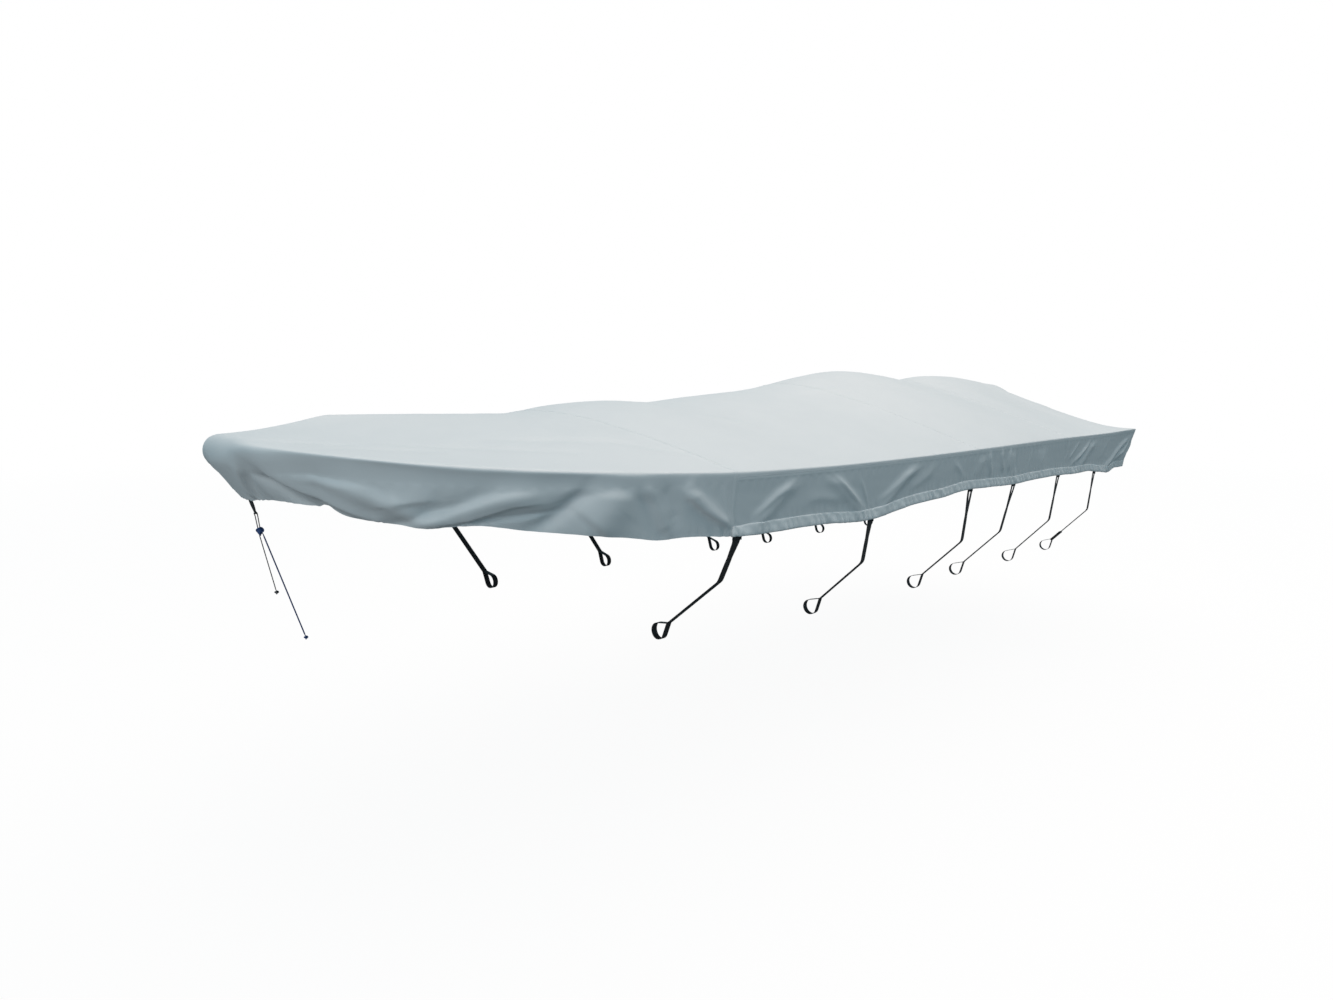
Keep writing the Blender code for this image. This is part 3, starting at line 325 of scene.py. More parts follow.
def fold_push(side, run, share):
    """How far the folds stand out of the skirt."""
    push = np.zeros(np.broadcast(run, share).shape)
    for run_top, share_top, run_low, share_low, width, height in (
            port_folds if side > 0 else starboard_folds):
        k = (share - share_top) / (share_low - share_top)
        across = bell(run - run_top - (run_low - run_top) * k, width)
        push += (height * across * smooth_step(-0.1, 0.35, k)
                 * (1 - 0.6 * smooth_step(0.85, 1.35, k)))
    push *= smooth_step(0.05, 0.30, share) * (1 - bell(run_end - run, 0.05))
    for strap in strap_runs:
        push *= 1 - bell(run - strap, 0.060) * smooth_step(0.35, 0.8, share)
    return push


def crease_rise(side, run, below):
    """How far the creases stand out at a place this far below the edge of the rim."""
    if side < 0:
        run = run + 0.02 * ripple(run, 0.83)
    rise = np.zeros(below.shape)
    for *places, spread_over, spread_under, height in creases:
        spots = np.array(places).reshape(3, 2)
        whole = gone(spots)[-1]
        past, nearest = 0.0, None
        for start, end in zip(spots, spots[1:]):
            way = end - start
            long = np.linalg.norm(way)
            ahead, down = run - start[0], below - start[1]
            k = np.clip((ahead * way[0] + down * way[1]) / long ** 2, 0, 1)
            off = np.hypot(ahead - way[0] * k, down - way[1] * k)
            under = (down * way[0] - ahead * way[1]) * np.sign(way[0] + 1e-9) > 0
            found = np.stack([off, (past + long * k) / whole, under])
            nearest = found if nearest is None else np.where(off < nearest[0], found, nearest)
            past += long
        off, far, under = nearest
        spread = np.where(under > 0, spread_under, spread_over)
        ends = 0.1 + 0.9 * smooth_step(0, 0.35 if spread_over < 0.06 else 1.0, far)
        ends = ends * (1 - 0.5 * smooth_step(0.85, 1, far))
        rise += height * np.exp(-(off / spread) ** 1.8) * ends
    if side < 0:
        rise *= 1 - 0.85 * bell(run, 0.5)
    for strap in strap_runs:
        rise *= 1 - 0.9 * bell(run - strap, 0.030) * smooth_step(0.13, 0.17, below)
    return rise


def unevenness(aft, port):
    """Slow rise and fall of slack cloth, a millimetre or so."""
    return (0.0011 * np.sin(5.1 * aft + 2.3 * port + 0.4) * np.sin(6.7 * port - 1.9 * aft + 1.1)
            + 0.0005 * np.sin(13.0 * aft - 9.0 * port + 2.0) * np.sin(17.0 * port + 4.0 * aft)
            + 0.0003 * np.sin(31.0 * aft + 12.0 * port) * np.sin(27.0 * port - 8.0 * aft + 0.7))


def around_hem(side, run):
    """Place along the whole hem, which the drawcord runs through without a break at the stern."""
    return np.where((side < 0) & (run > seam_runs[3] - 0.001), 2 * run_end - run, side * run)


def gather_wave(run):
    """Uneven spacing of the gathers that the hem's drawcord makes."""
    return (2 * math.pi * run / gather_pitch + 1.8 * ripple(run, 0.157, 1.3)
            + 1.4 * ripple(run, 0.41, 0.4))


def gather_depth(run):
    """Some stretches of the hem are drawn up more than others."""
    far = np.abs(run)
    patches = 0.65 + 0.35 * ripple(run, 0.83, 0.9) * ripple(run, 0.39)
    bow = 1 - 0.65 * smooth_step(0.10, 0.22, far) + 0.6 * bell(far - 0.38, 0.07)
    corners = bell(far - run_stern, 0.13) + bell(2 * run_end - far - run_stern, 0.13)
    return patches * np.where(far < 1.6, bow, 1.0) * (1 - 0.75 * corners)


def faces_out(points, side):
    """Ways out of the cloth at every point. Both sides meet squarely on the centre plane."""
    flow, fall = np.gradient(points, axis=0), np.gradient(points, axis=1)
    for end, way in ((0, 1), (-1, -1)):
        if abs(points[end, -1, 1]) < 1e-6:
            flow[end] = (0, way * side, 0)
    normal = np.cross(fall, flow) * side
    return normal / (np.linalg.norm(normal, axis=2, keepdims=True) + 1e-12)


def lay_cloth(side, runs, deck=(), bend=(), drop=(), hem_left=0.0, crisp=True):
    """Grid of points, one line for each place on the rim, with the relief pressed into it.

    deck and bend hold shares of the way to the rim and round it, and drop shares of the way
    from the seam under the rim to the hem, or to a little above it. Without crisp, only the
    main folds are there.
    """
    run = np.asarray(runs, float)[:, None]
    aft, half = rim_plan(run)
    along = (np.stack(rim_plan(np.minimum(run + 0.01, run_end)))
             - np.stack(rim_plan(run - 0.01)))
    out = np.stack([-along[1], side * along[0]]) / np.linalg.norm(along, axis=0)
    rise, bend_by, hem_aft, hem_in, power, hollow = (
        smooth_value(rim_table, run, k) for k in range(1, 7))
    ridge_start, ridge_end = ridge_rows[0, 0], ridge_rows[-1, 0]
    bow_foot = ridge_start + (bow_seam_aft - ridge_start) * run / run_bow_fan
    stern_foot = stern_fan_aft + ((ridge_end - stern_fan_aft) * (run - run_stern_fan)
                                  / (run_end - run_stern_fan))
    foot = np.where(run <= run_bow_fan, bow_foot, np.where(run <= run_stern_fan, aft, stern_foot))
    ridge = np.stack([foot, smooth_value(ridge_rows, foot, 1), smooth_value(ridge_rows, foot, 2)])
    corner = np.stack([aft, side * half, rise])
    hem = np.stack([aft + hem_aft, side * np.maximum(half - hem_in, 0),
                    rise - smooth_value(hem_rows, run, 1)])
    reach = bend_by * (0.85 + (0.32 * bell(run, 0.26) if crisp else 0))
    wide = np.linalg.norm((corner - ridge)[:2], axis=0)
    last = 1 - reach / wide

    def on_deck(w):
        point = ridge + (corner - ridge) * w
        rounded = np.hypot(w, ridge_round) - ridge_round
        rounded = rounded / (math.hypot(1, ridge_round) - ridge_round)
        left = np.maximum(1 - rounded ** power, 0) ** hollow
        point[2] = corner[2] + (ridge[2] - corner[2]) * left
        return point

    down = (hem - corner) / np.linalg.norm(hem - corner, axis=0)
    bend_start, bend_end = on_deck(last), corner + down * reach
    level = (corner - bend_start) / np.linalg.norm(corner - bend_start, axis=0)
    weight = np.cos(np.arccos(np.clip((level * down).sum(0), -1, 1)) / 2)
    if crisp:
        crisp_from = (0.08, 0.44) if side > 0 else (0.45, 0.80)
        tight = 1.5 + 1.5 * smooth_step(-1.75, -1.50, -run) + 4.0 * smooth_step(-0.9, -0.6, -run)
        weight = weight * (1 + tight * smooth_step(*crisp_from, run))
    grid, below = [], []
    if len(deck):
        shares = last * np.asarray(deck)
        grid.append(on_deck(shares))
        below.append((shares - last) * wide - reach)
    if len(bend):
        u = np.asarray(bend)
        parts = ((1 - u) ** 2, 2 * u * (1 - u) * weight, u ** 2)
        grid.append((bend_start * parts[0] + corner * parts[1] + bend_end * parts[2]) / sum(parts))
        below.append(reach * (2 * u - 1))
    if len(drop):
        length = np.linalg.norm(hem - bend_end, axis=0)
        start = seam_drop / length
        share = start + (1 - start - hem_left / length) * np.asarray(drop)
        skirt = bend_end + (hem - bend_end) * share
        strength = np.where(run < 1.70, 0.65, 0.85) if crisp else 1
        skirt[:2] += out * fold_push(side, run, share) * strength
        grid.append(skirt)
        below.append(reach + length * share)
    grid, below = np.concatenate(grid, axis=2), np.concatenate(below, axis=1)
    points = np.stack([centre_aft - grid[0], grid[1], grid[2] - origin_rise], axis=2)
    if not crisp:
        return points
    normal = faces_out(points, side)
    if len(deck):
        normal[:, 0] = (0, 0, 1)

    relief = np.zeros(points.shape[:2])
    settle = smooth_step(0.0, 0.06, np.abs(below - reach))
    back, port = grid[0], grid[1]
    tops = points.shape[1] - len(drop)
    if tops:
        relief[:, :tops] += (settle * unevenness(back, port))[:, :tops]
        calm = smooth_step(-1.0, -0.93, -np.linspace(0, 1, tops))[None, :]
        for aft0, port0, aft1, port1, width, height in deck_wrinkles:
            ahead = np.array([aft1 - aft0, port1 - port0])
            long = np.linalg.norm(ahead)
            k = ((back - aft0) * ahead[0] + (port - port0) * ahead[1]) / long ** 2
            across = ((back - aft0) * ahead[1] - (port - port0) * ahead[0]) / long
            groove = wrinkle_depth * height * bell(across, width)
            groove *= smooth_step(-0.1, 0.35, k) * (1 - smooth_step(0.65, 1.1, k))
            relief[:, :tops] += groove[:, :tops] * calm
    for seam in seam_afts:
        off = np.abs(back - seam)
        relief += seam_rise * smooth_step(-0.0085, -0.0055, -off)
        if tops:
            drawn = np.sin(2 * math.pi * port / gather_pitch + 2.0 * np.sin(9 * port + seam))
            relief += bell(off, 0.030) * seam_draw * drawn
    if len(drop):
        above = length * (1 - share)
        tuck_at, depth = (0.035, 0.0014) if hem_left else (0.004, 0.0026)
        place = around_hem(side, run)
        tuck = bell(above - tuck_at, 0.026) * gather_depth(place)
        tuck = tuck * np.sin(gather_wave(place) + 50 * above) * depth
        under = length * share - seam_drop
        if drop[0] < 0:
            tuck += welt_rise * bell(under - 0.001, 0.0045)
        pucker = np.sin(2 * math.pi * run / 0.047 + 1.7 * np.sin(7 * run))
        tuck += rim_pucker * smooth_step(0, 0.012, under) * bell(under, 0.03) * pucker
        relief[:, tops:] += tuck + 0.5 * unevenness(run, above * 4) * settle[:, tops:]
    crease = crease_rise(side, run, below) * smooth_step(0.0, 0.02, below)
    if len(drop):
        fade = 0.1 + 0.9 * smooth_step(0.035, 0.105, above)
        crease[:, tops:] *= np.where(run > seam_runs[0], fade, 1)
    relief += crease - nose_sink * bell(below - 0.03, 0.07) * bell(run, 0.24)
    return points + normal * relief[:, :, None]


def maths(tree, operation, first, second=0.0):
    """Output of a math node fed by sockets or plain numbers."""
    return add_node(tree, "ShaderNodeMath", {0: first, 1: second}, operation=operation).outputs[0]


def thread_group(name, sizes, results):
    """Shader group with named sizes and results, and where a place is on the cloth's own UVs."""
    group = bpy.data.node_groups.new(name, "ShaderNodeTree")
    new_socket = group.interface.new_socket
    for label, size in sizes.items():
        new_socket(name=label, in_out="INPUT", socket_type="NodeSocketFloat").default_value = size
    for label in results:
        new_socket(name=label, in_out="OUTPUT", socket_type="NodeSocketFloat")
    given, result = group.nodes.new("NodeGroupInput"), group.nodes.new("NodeGroupOutput")
    spot = add_node(group, "ShaderNodeUVMap", {}, uv_map="cloth").outputs[0]
    split = add_node(group, "ShaderNodeSeparateXYZ", {0: spot})
    return group, given.outputs, result, spot, split.outputs[0], split.outputs[1]


def woven_group():
    """Plain weave with uneven threads. UVs are in metres."""
    group, given, result, spot, along, across = thread_group(
        "woven", {"Threads": 900.0, "Unevenness": 0.3}, ("Shade", "Height"))
    turns = maths(group, "MULTIPLY", given["Threads"], math.pi)
    warp, weft = (maths(group, "SINE", maths(group, "MULTIPLY", way, turns))
                  for way in (along, across))
    slub = add_node(group, "ShaderNodeTexNoise", {"Vector": spot, "Scale": 6.0, "Detail": 5.0})
    off = maths(group, "SUBTRACT", slub.outputs["Fac"], 0.5)
    join(group, result, {
        "Height": maths(group, "ABSOLUTE", maths(group, "MULTIPLY", warp, weft)),
        "Shade": maths(group, "ADD", maths(group, "MULTIPLY", off, given["Unevenness"]), 0.5)})
    return group


woven = woven_group()


def shade_between(tree, share, low, high, ends=(0, 1)):
    """Colour between two colours, by a share."""
    ramp = add_node(tree, "ShaderNodeValToRGB", {0: share})
    for stop, end, color in zip(ramp.color_ramp.elements, ends, (low, high)):
        stop.position, stop.color = end, (*color, 1)
    return ramp.outputs["Color"]


def thread_material(name, pattern, sizes, low, high, ends, strength, depth, surface):
    """Material that takes its colour and fine relief from a thread group, and its fine bump."""
    material, tree, shader = new_material(name)
    threads = add_node(tree, "ShaderNodeGroup", {}, node_tree=pattern)
    join(tree, threads, sizes)
    fine = add_node(tree, "ShaderNodeBump", {
        "Strength": strength, "Distance": depth, "Height": threads.outputs["Height"]})
    color = shade_between(tree, threads.outputs[0], low, high, ends)
    join(tree, shader, {"Base Color": color, "Normal": fine.outputs[0], **surface})
    return material, tree, fine


def cloth_material(name, low, high, roughness, threads=900.0, strength=0.10, uneven=0.35):
    """Woven finish between two close colours, slightly crumpled."""
    material, tree, fine = thread_material(
        name, woven, {"Threads": threads, "Unevenness": uneven}, low, high, (0.3, 0.7), strength,
        0.0004, {"Roughness": roughness, "Sheen Weight": 0.12, "Sheen Roughness": 0.4})
    spot = add_node(tree, "ShaderNodeTexCoord", {}).outputs["Object"]
    crumple = add_node(tree, "ShaderNodeTexNoise", {"Vector": spot, "Scale": 28.0, "Detail": 4.0})
    soft = add_node(tree, "ShaderNodeBump", {
        "Strength": 0.25, "Distance": 0.0012, "Height": crumple.outputs["Fac"]})
    join(tree, fine, {"Normal": soft.outputs[0]})
    return material


coated_cloth = cloth_material("coated_cloth", (0.595, 0.645, 0.672), (0.640, 0.686, 0.710), 0.58)


def settled(piece):
    """Mesh of a piece with its modifiers applied."""
    bpy.context.view_layer.update()
    return bpy.data.meshes.new_from_object(
        piece.evaluated_get(bpy.context.evaluated_depsgraph_get()))


def sew_sheet(name, grids, material, thickness=0.0012):
    """Cloth from grids of points. UVs hold the distances along and across, in metres."""
    corners, faces, spots = [], [], []
    for points, turned in grids:
        rows, columns = points.shape[:2]
        along, across = gone(points)[:, -1:], gone(points, 1)
        spots += np.stack(np.broadcast_arrays(along, across), 2).reshape(-1, 2).tolist()
        place = len(corners) + np.arange(rows * columns).reshape(rows, columns)
        quads = np.stack([place[:-1, :-1], place[:-1, 1:], place[1:, 1:], place[1:, :-1]], 2)
        quads = quads.reshape(-1, 4)
        faces += (quads[:, ::-1] if turned else quads).tolist()
        corners += points.reshape(-1, 3).tolist()
    mesh = bpy.data.meshes.new(name)
    mesh.from_pydata(corners, [], faces)
    order = np.empty(len(mesh.loops), int)
    mesh.loops.foreach_get("vertex_index", order)
    mesh.uv_layers.new(name="cloth").data.foreach_set("uv", np.array(spots)[order].ravel())
    form = bmesh.new()
    form.from_mesh(mesh)
    bmesh.ops.remove_doubles(form, verts=form.verts, dist=0.00005)
    form.to_mesh(mesh)
    form.free()
    mesh.shade_smooth()
    mesh.materials.append(material)
    piece = add_object(name, mesh)
    if thickness:
        wall = piece.modifiers.new("Wall", "SOLIDIFY")
        wall.thickness = thickness
        wall.offset = -1
        walled = settled(piece)
        piece.modifiers.clear()
        piece.data = walled
        walled.set_sharp_from_angle(angle=math.radians(55))
    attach(piece, "root")
    return piece


seam_steps = np.array([0.0025, 0.005, 0.0065, 0.009, 0.013])


def spaced(start, end, pitch):
    """Places from start to end, close together beside the seams at both ends."""
    middle = np.linspace(start + 0.02, end - 0.02, max(3, round((end - start) / pitch)))
    return np.concatenate([[start], start + seam_steps, middle, end - seam_steps[::-1], [end]])


def drop_shares(count):
    """Shares of the way down a skirt, from just above the rim seam."""
    beside_seam = [-0.022, -0.010, 0, 0.012, 0.026, 0.042, 0.062]
    return np.concatenate([beside_seam, np.linspace(0.09, 1, count)])


deck_shares = np.concatenate([np.linspace(0, 0.9, 42), np.linspace(0.915, 1, 8)])
bend_shares = np.linspace(0, 1, 8)[1:]
bow_runs = np.concatenate([np.arange(0, seam_runs[0] - 0.02, 0.0074),
                           seam_runs[0] - seam_steps[::-1], seam_runs[:1]])
bow_bend = np.linspace(0, 1, 13)[1:]
bow_cloth = sew_sheet("bow_cloth", [
    (lay_cloth(side, bow_runs, deck_shares, bow_bend, drop_shares(28)[3:]), side < 0)
    for side in (1, -1)], coated_cloth)
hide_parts("bow_panel")


# Deck panels
# Three widths of the same cloth cross the cover between the seams. Each ends just below the
# crisp edge of the rim, and the aft one runs on to the stern.
part_names = ("forward", "middle", "aft")
deck_ends = seam_runs[:3] + [run_end]
for label, start, end in zip(part_names, deck_ends, deck_ends[1:]):
    if label == "aft":
        runs = np.concatenate([spaced(start, run_stern - 0.055, 0.016)[:-6],
                               np.linspace(run_stern - 0.058, run_stern + 0.02, 14),
                               np.linspace(run_stern + 0.035, end, 46)])
    else:
        runs = spaced(start, end, 0.016)
    deck = sew_sheet(f"deck_{label}_cloth", [
        (lay_cloth(side, runs, deck_shares, bend_shares, [0.0]), side < 0)
        for side in (1, -1)], coated_cloth)
    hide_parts(f"deck_{label}")


# Side and stern skirts
# Strips of the same cloth hang from the seam under the rim, three a side and one across the
# stern. The tie-downs pull them into slanting creases.
# The skirts' copy of the cloth is a shade darker than the deck's: painted shade on the hanging
# sides.
skirt_cloth = cloth_material("skirt_cloth", (0.585, 0.640, 0.668), (0.625, 0.675, 0.700), 0.55)
casing_left = 0.028
sides = (("port", 1), ("starboard", -1))
for side_name, side in sides:
    for label, start, end in zip(part_names, seam_runs, seam_runs[1:]):
        runs = spaced(start, end, 0.0062)
        cloth = lay_cloth(side, runs, drop=drop_shares(30), hem_left=casing_left)
        skirt = sew_sheet(f"skirt_{side_name}_{label}_cloth", [(cloth, side < 0)], skirt_cloth)
        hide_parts(f"skirt_{side_name}_{label}")
stern_runs = np.concatenate([spaced(seam_runs[3], run_end, 0.0066)[:-6],
                             np.linspace(run_end - 0.015, run_end, 4)])
stern_cloth = sew_sheet("stern_skirt_cloth", [
    (lay_cloth(side, stern_runs, drop=drop_shares(30), hem_left=casing_left), side < 0)
    for side in (1, -1)], skirt_cloth)
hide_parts("stern_skirt")


# Hem casings
# The edge of every skirt is turned up and sewn down as a casing for a drawcord. The cord bunches
# it into small slanting gathers, deeper in some stretches than in others.
hem_height, hem_swell, hem_lip = 0.041, 0.0052, 0.0075
# The casing's copy of the cloth is lighter than the skirt's: painted light on the bulging casing.
lit_hem_cloth = cloth_material("lit_hem_cloth", (0.655, 0.705, 0.730), (0.700, 0.745, 0.765), 0.50)


def hem_seats(side, runs):
    """Hem points, and the ways up the skirt and out of it there."""
    edge = lay_cloth(side, runs, drop=np.array([0.80, 0.9, 1.0]))
    up = edge[:, 0] - edge[:, 2]
    up /= np.linalg.norm(up, axis=1, keepdims=True)
    along = np.gradient(edge[:, 2], axis=0)
    out = np.cross(up, along) * -side
    return edge[:, 2], up, out / np.linalg.norm(out, axis=1, keepdims=True)


def close_tube(piece):
    """Ends of a tube filled and its faces turned out."""
    form = bmesh.new()
    form.from_mesh(piece.data)
    bmesh.ops.holes_fill(form, edges=form.edges, sides=0)
    bmesh.ops.recalc_face_normals(form, faces=form.faces)
    form.to_mesh(piece.data)
    form.free()


def sew_casing(name, rings):
    """Closed tube of the lighter hem cloth, painted light, from rings of points."""
    hem = sew_sheet(name, [(np.concatenate([rings, rings[:, :1]], axis=1), False)], lit_hem_cloth, 0)
    close_tube(hem)
    return hem


def hem_tall(runs):
    """The casing starts narrower at the first cross seam."""
    return hem_height * (0.80 + 0.20 * smooth_step(0, 0.12, runs - seam_runs[0]))


def hem_slack(runs):
    """The casing lies flatter towards the stern."""
    return 1 - 0.5 * smooth_step(5.10, 5.55, runs)


def sew_hem(name, stretches):
    """Flat tube of cloth along stretches of the hem, each a side and its places in order."""
    rings = []
    for side, runs in stretches:
        edge, up, out = hem_seats(side, runs)
        turn = np.linspace(0, 2 * math.pi, 16, endpoint=False)
        signed = around_hem(side, runs)[:, None]
        rise = 0.5 * hem_tall(runs)[:, None] * (1 - np.cos(turn))[None, :]
        face = np.sin(turn)[None, :]
        depth = gather_depth(signed)
        wave = np.sin(gather_wave(signed) + 85 * rise)
        small = np.sin(2.3 * gather_wave(signed) - 60 * rise + 1.0)
        swell = hem_swell * np.sign(face) * np.abs(face) ** 0.8
        swell = swell + hem_lip * np.clip(1 - rise / 0.028, 0, 1) * (face > 0.2)
        swell = swell * (1 + 0.12 * ripple(signed, 0.19)) * hem_slack(runs)[:, None]
        swell += depth * (0.0036 * wave + 0.0009 * small) * np.abs(face) * (0.4 + 0.6 * (face > 0))
        lift = rise - 0.0006 + 0.0010 * depth * wave * (rise < 0.004)
        ring = edge[:, None] + up[:, None] * lift[:, :, None] + out[:, None] * swell[:, :, None]
        rings.append(ring if side > 0 else ring[:, ::-1])
    return sew_casing(name, np.concatenate(rings))


def hem_places(start, end):
    return np.linspace(start, end, round((end - start) / 0.0035))


rings = []
hem_share = np.linspace(0.84, 1, 8)
hem_hollow = 0.0045 * np.sin(math.pi * np.linspace(0, 1, 8))[:, None]
for side in (-1, 1):
    cloth = lay_cloth(side, bow_runs, drop=hem_share)
    facing = faces_out(cloth, side)
    inner = (cloth - facing * (0.0023 + hem_hollow))[:, ::-1]
    ring = np.concatenate([cloth - facing * 0.0019, inner], axis=1)
    rings.append(ring if side > 0 else ring[:0:-1])
bow_hem = sew_casing("bow_hem", np.concatenate(rings))
for side_name, side in sides:
    for label, start, end in zip(part_names, seam_runs, seam_runs[1:]):
        sew_hem(f"hem_{side_name}_{label}",
                                         [(side, hem_places(start, end))])
stern_places = hem_places(seam_runs[3], run_end)
stern_hem = sew_hem("stern_hem", [(1, stern_places), (-1, stern_places[-2::-1])])


# Stitching
# Pale polyester thread, a lockstitch of about six millimetres, holds every seam: one row along
# the top of each hem casing and under the rim, and two rows across the top at each cross seam.
stitch_sizes = {"Pitch": 0.006, "Stitch": 0.0046, "Thread": 0.0011}
thread_finish = cloth_material("thread_finish", (0.70, 0.74, 0.76), (0.78, 0.81, 0.82), 0.45,
                               2600.0, 0.4, 0.3)


def stitch_tree():
    """Geometry tree that lays one rounded stitch after another along every line of a mesh."""
    tree = bpy.data.node_groups.new("stitch_row", "GeometryNodeTree")
    new_socket = tree.interface.new_socket
    new_socket(name="Geometry", in_out="INPUT", socket_type="NodeSocketGeometry")
    for label, size in stitch_sizes.items():
        new_socket(name=label, in_out="INPUT", socket_type="NodeSocketFloat").default_value = size
    new_socket(name="Finish", in_out="INPUT", socket_type="NodeSocketMaterial")
    new_socket(name="Geometry", in_out="OUTPUT", socket_type="NodeSocketGeometry")
    given = tree.nodes.new("NodeGroupInput").outputs
    lines = add_node(tree, "GeometryNodeMeshToCurve", {"Mesh": given["Geometry"]})
    spots = add_node(tree, "GeometryNodeCurveToPoints", {
        "Curve": lines.outputs["Curve"], "Length": given["Pitch"]}, mode="LENGTH")
    turned = add_node(tree, "FunctionNodeAlignRotationToVector", {
        "Vector": spots.outputs["Tangent"]}, axis="X")
    bead = add_node(tree, "GeometryNodeMeshIcoSphere", {"Radius": 0.5, "Subdivisions": 1})
    size = add_node(tree, "ShaderNodeCombineXYZ", {
        0: given["Stitch"], 1: given["Thread"], 2: given["Thread"]})
    shape = add_node(tree, "GeometryNodeTransform", {
        "Geometry": bead.outputs["Mesh"], "Scale": size.outputs[0]})
    laid = add_node(tree, "GeometryNodeInstanceOnPoints", {
        "Points": spots.outputs["Points"], "Instance": shape.outputs["Geometry"],
        "Rotation": turned.outputs["Rotation"]})
    made = add_node(tree, "GeometryNodeRealizeInstances", {0: laid.outputs["Instances"]})
    painted = add_node(tree, "GeometryNodeSetMaterial", {
        "Geometry": made.outputs[0], "Material": given["Finish"]})
    join(tree, tree.nodes.new("NodeGroupOutput"), {"Geometry": painted.outputs["Geometry"]})
    return tree


stitch_row = stitch_tree()


def sew_stitches(name, lines, finish):
    """One mesh of stitches along lines of points."""
    corners, edges = [], []
    for line in lines:
        first = len(corners)
        corners += [tuple(spot) for spot in line]
        edges += [(k, k + 1) for k in range(first, len(corners) - 1)]
    mesh = bpy.data.meshes.new(name + "_lines")
    mesh.from_pydata(corners, edges, [])
    holder = add_object(name + "_lines", mesh)
    sewing = holder.modifiers.new("Sewing", "NODES")
    sewing.node_group = stitch_row
    values = {**stitch_sizes, "Finish": finish}
    for socket in stitch_row.interface.items_tree:
        if socket.in_out == "INPUT" and socket.name in values:
            sewing[socket.identifier] = values[socket.name]
    sewn = settled(holder)
    bpy.data.objects.remove(holder)
    sewn.name = name
    piece = add_object(name, sewn)
    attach(piece, "root")
    return piece


def raised(grid, by, side):
    """Points of a sheet moved out along its face."""
    return grid + faces_out(grid, side) * by


rows_sewn = []
for side in (1, -1):
    for start, end in zip(seam_runs, seam_runs[1:] + [run_end]):
        places = np.arange(start + 0.008, end - 0.004, 0.008)
        edge, up, out = hem_seats(side, places)
        signed = around_hem(side, places)
        tall = hem_tall(places) * 0.93
        wave = np.sin(gather_wave(signed) + 85 * tall)
        swell = (hem_swell * 0.5 + gather_depth(signed) * 0.0018 * wave) * hem_slack(places)
        rows_sewn.append(edge + up * tall[:, None] + out * swell[:, None])
        rim = lay_cloth(side, places, bend=np.array([0.8, 1.0]), drop=np.array([0.0]))
        rows_sewn.append(raised(rim, 0.0002, side)[:, 1])
    for seam in seam_runs[:3]:
        for off in (-0.0035, 0.0035):
            places = seam + off + np.array([-0.002, 0, 0.002])
            crossing = lay_cloth(side, places, deck_shares, bend_shares)
            rows_sewn.append(raised(crossing, 0.0003, side)[1])
seam_stitches = sew_stitches("seam_stitches", rows_sewn, thread_finish)


# Strap tabs
# A short black webbing tab is sewn into the hem at each of the six tie-downs a side, and shows
# just below it.
tab_width, tab_thick, tab_rise, tab_hang, tab_behind = 0.044, 0.0016, 0.026, 0.014, 0.0028
seat_half, seat_top = 0.027, 0.83       # stretch of the hem that a tab lies flat against


def unit(vector):
    return vector / np.linalg.norm(vector)


def ribbed_group():
    """Zigzag ribs of woven tape."""
    group, given, result, spot, along, across = thread_group(
        "ribbed", {"Rib": 0.0021, "Column": 0.0065}, ("Shade", "Height"))
    zigzag = maths(group, "PINGPONG", across, given["Column"])
    turns = maths(group, "DIVIDE", maths(group, "ADD", along, zigzag), given["Rib"])
    wave = maths(group, "SINE", maths(group, "MULTIPLY", turns, 2 * math.pi))
    height = maths(group, "MULTIPLY", maths(group, "ADD", wave, 1.0), 0.5)
    wear = add_node(group, "ShaderNodeTexNoise", {"Vector": spot, "Scale": 45.0, "Detail": 4.0})
    worn = maths(group, "MULTIPLY", wear.outputs["Fac"], 0.5)
    shade = maths(group, "ADD", maths(group, "MULTIPLY", height, 0.5), worn)
    join(group, result, {"Height": height, "Shade": shade})
    return group


ribbed = ribbed_group()


def tape_material(name, low, high, rib, roughness):
    return thread_material(name, ribbed, {"Rib": rib}, low, high, (0.2, 0.9), 0.6, 0.0004,
                           {"Roughness": roughness, "Sheen Weight": 0.04})[0]


strap_webbing = tape_material("strap_webbing", (0.006, 0.006, 0.007), (0.022, 0.023, 0.025),
                              0.0021, 0.55)
tab_webbing = tape_material("tab_webbing", (0.004, 0.004, 0.005), (0.011, 0.012, 0.015),
                            0.0016, 0.75)


def hem_seat(side, run):
    """Middle of the hem at a tie-down, and the ways down, along and out from it."""
    (top_a, low_a), (top_b, low_b) = lay_cloth(side, [run - seat_half, run + seat_half],
                                               drop=np.array([seat_top, 1.0]), crisp=False)
    origin = (low_a + low_b) / 2
    down = unit(origin - (top_a + top_b) / 2)
    along = unit(low_b - low_a)
    out = unit(np.cross(down, along))
    return origin, down, along, out if out[1] * side > 0 else -out


def weave_tape(name, centres, across, widths, thick, material):
    """Woven tape along a line of points, flat across the way given, with thinner edges."""
    centres = np.asarray(centres)
    across = np.broadcast_to(across, centres.shape)
    ahead = np.gradient(centres, axis=0)
    face = np.cross(across, ahead)
    face /= np.linalg.norm(face, axis=1, keepdims=True)
    edge = np.array([-1, -0.93, -0.8, -0.3, 0.3, 0.8, 0.93, 1])
    edge = np.concatenate([edge, edge[-2:0:-1]])
    high = np.array([0, 0.62, 0.95, 1, 1, 0.95, 0.62])
    high = np.concatenate([high, -high])
    half = np.broadcast_to(np.asarray(widths, float) / 2, len(centres))[:, None, None]
    ring = (centres[:, None] + across[:, None] * edge[None, :, None] * half
            + face[:, None] * high[None, :, None] * thick / 2)
    ring = np.concatenate([ring, ring[:, :1]], axis=1)
    tape = sew_sheet(name, [(ring, False)], material, 0)
    close_tube(tape)
    return tape


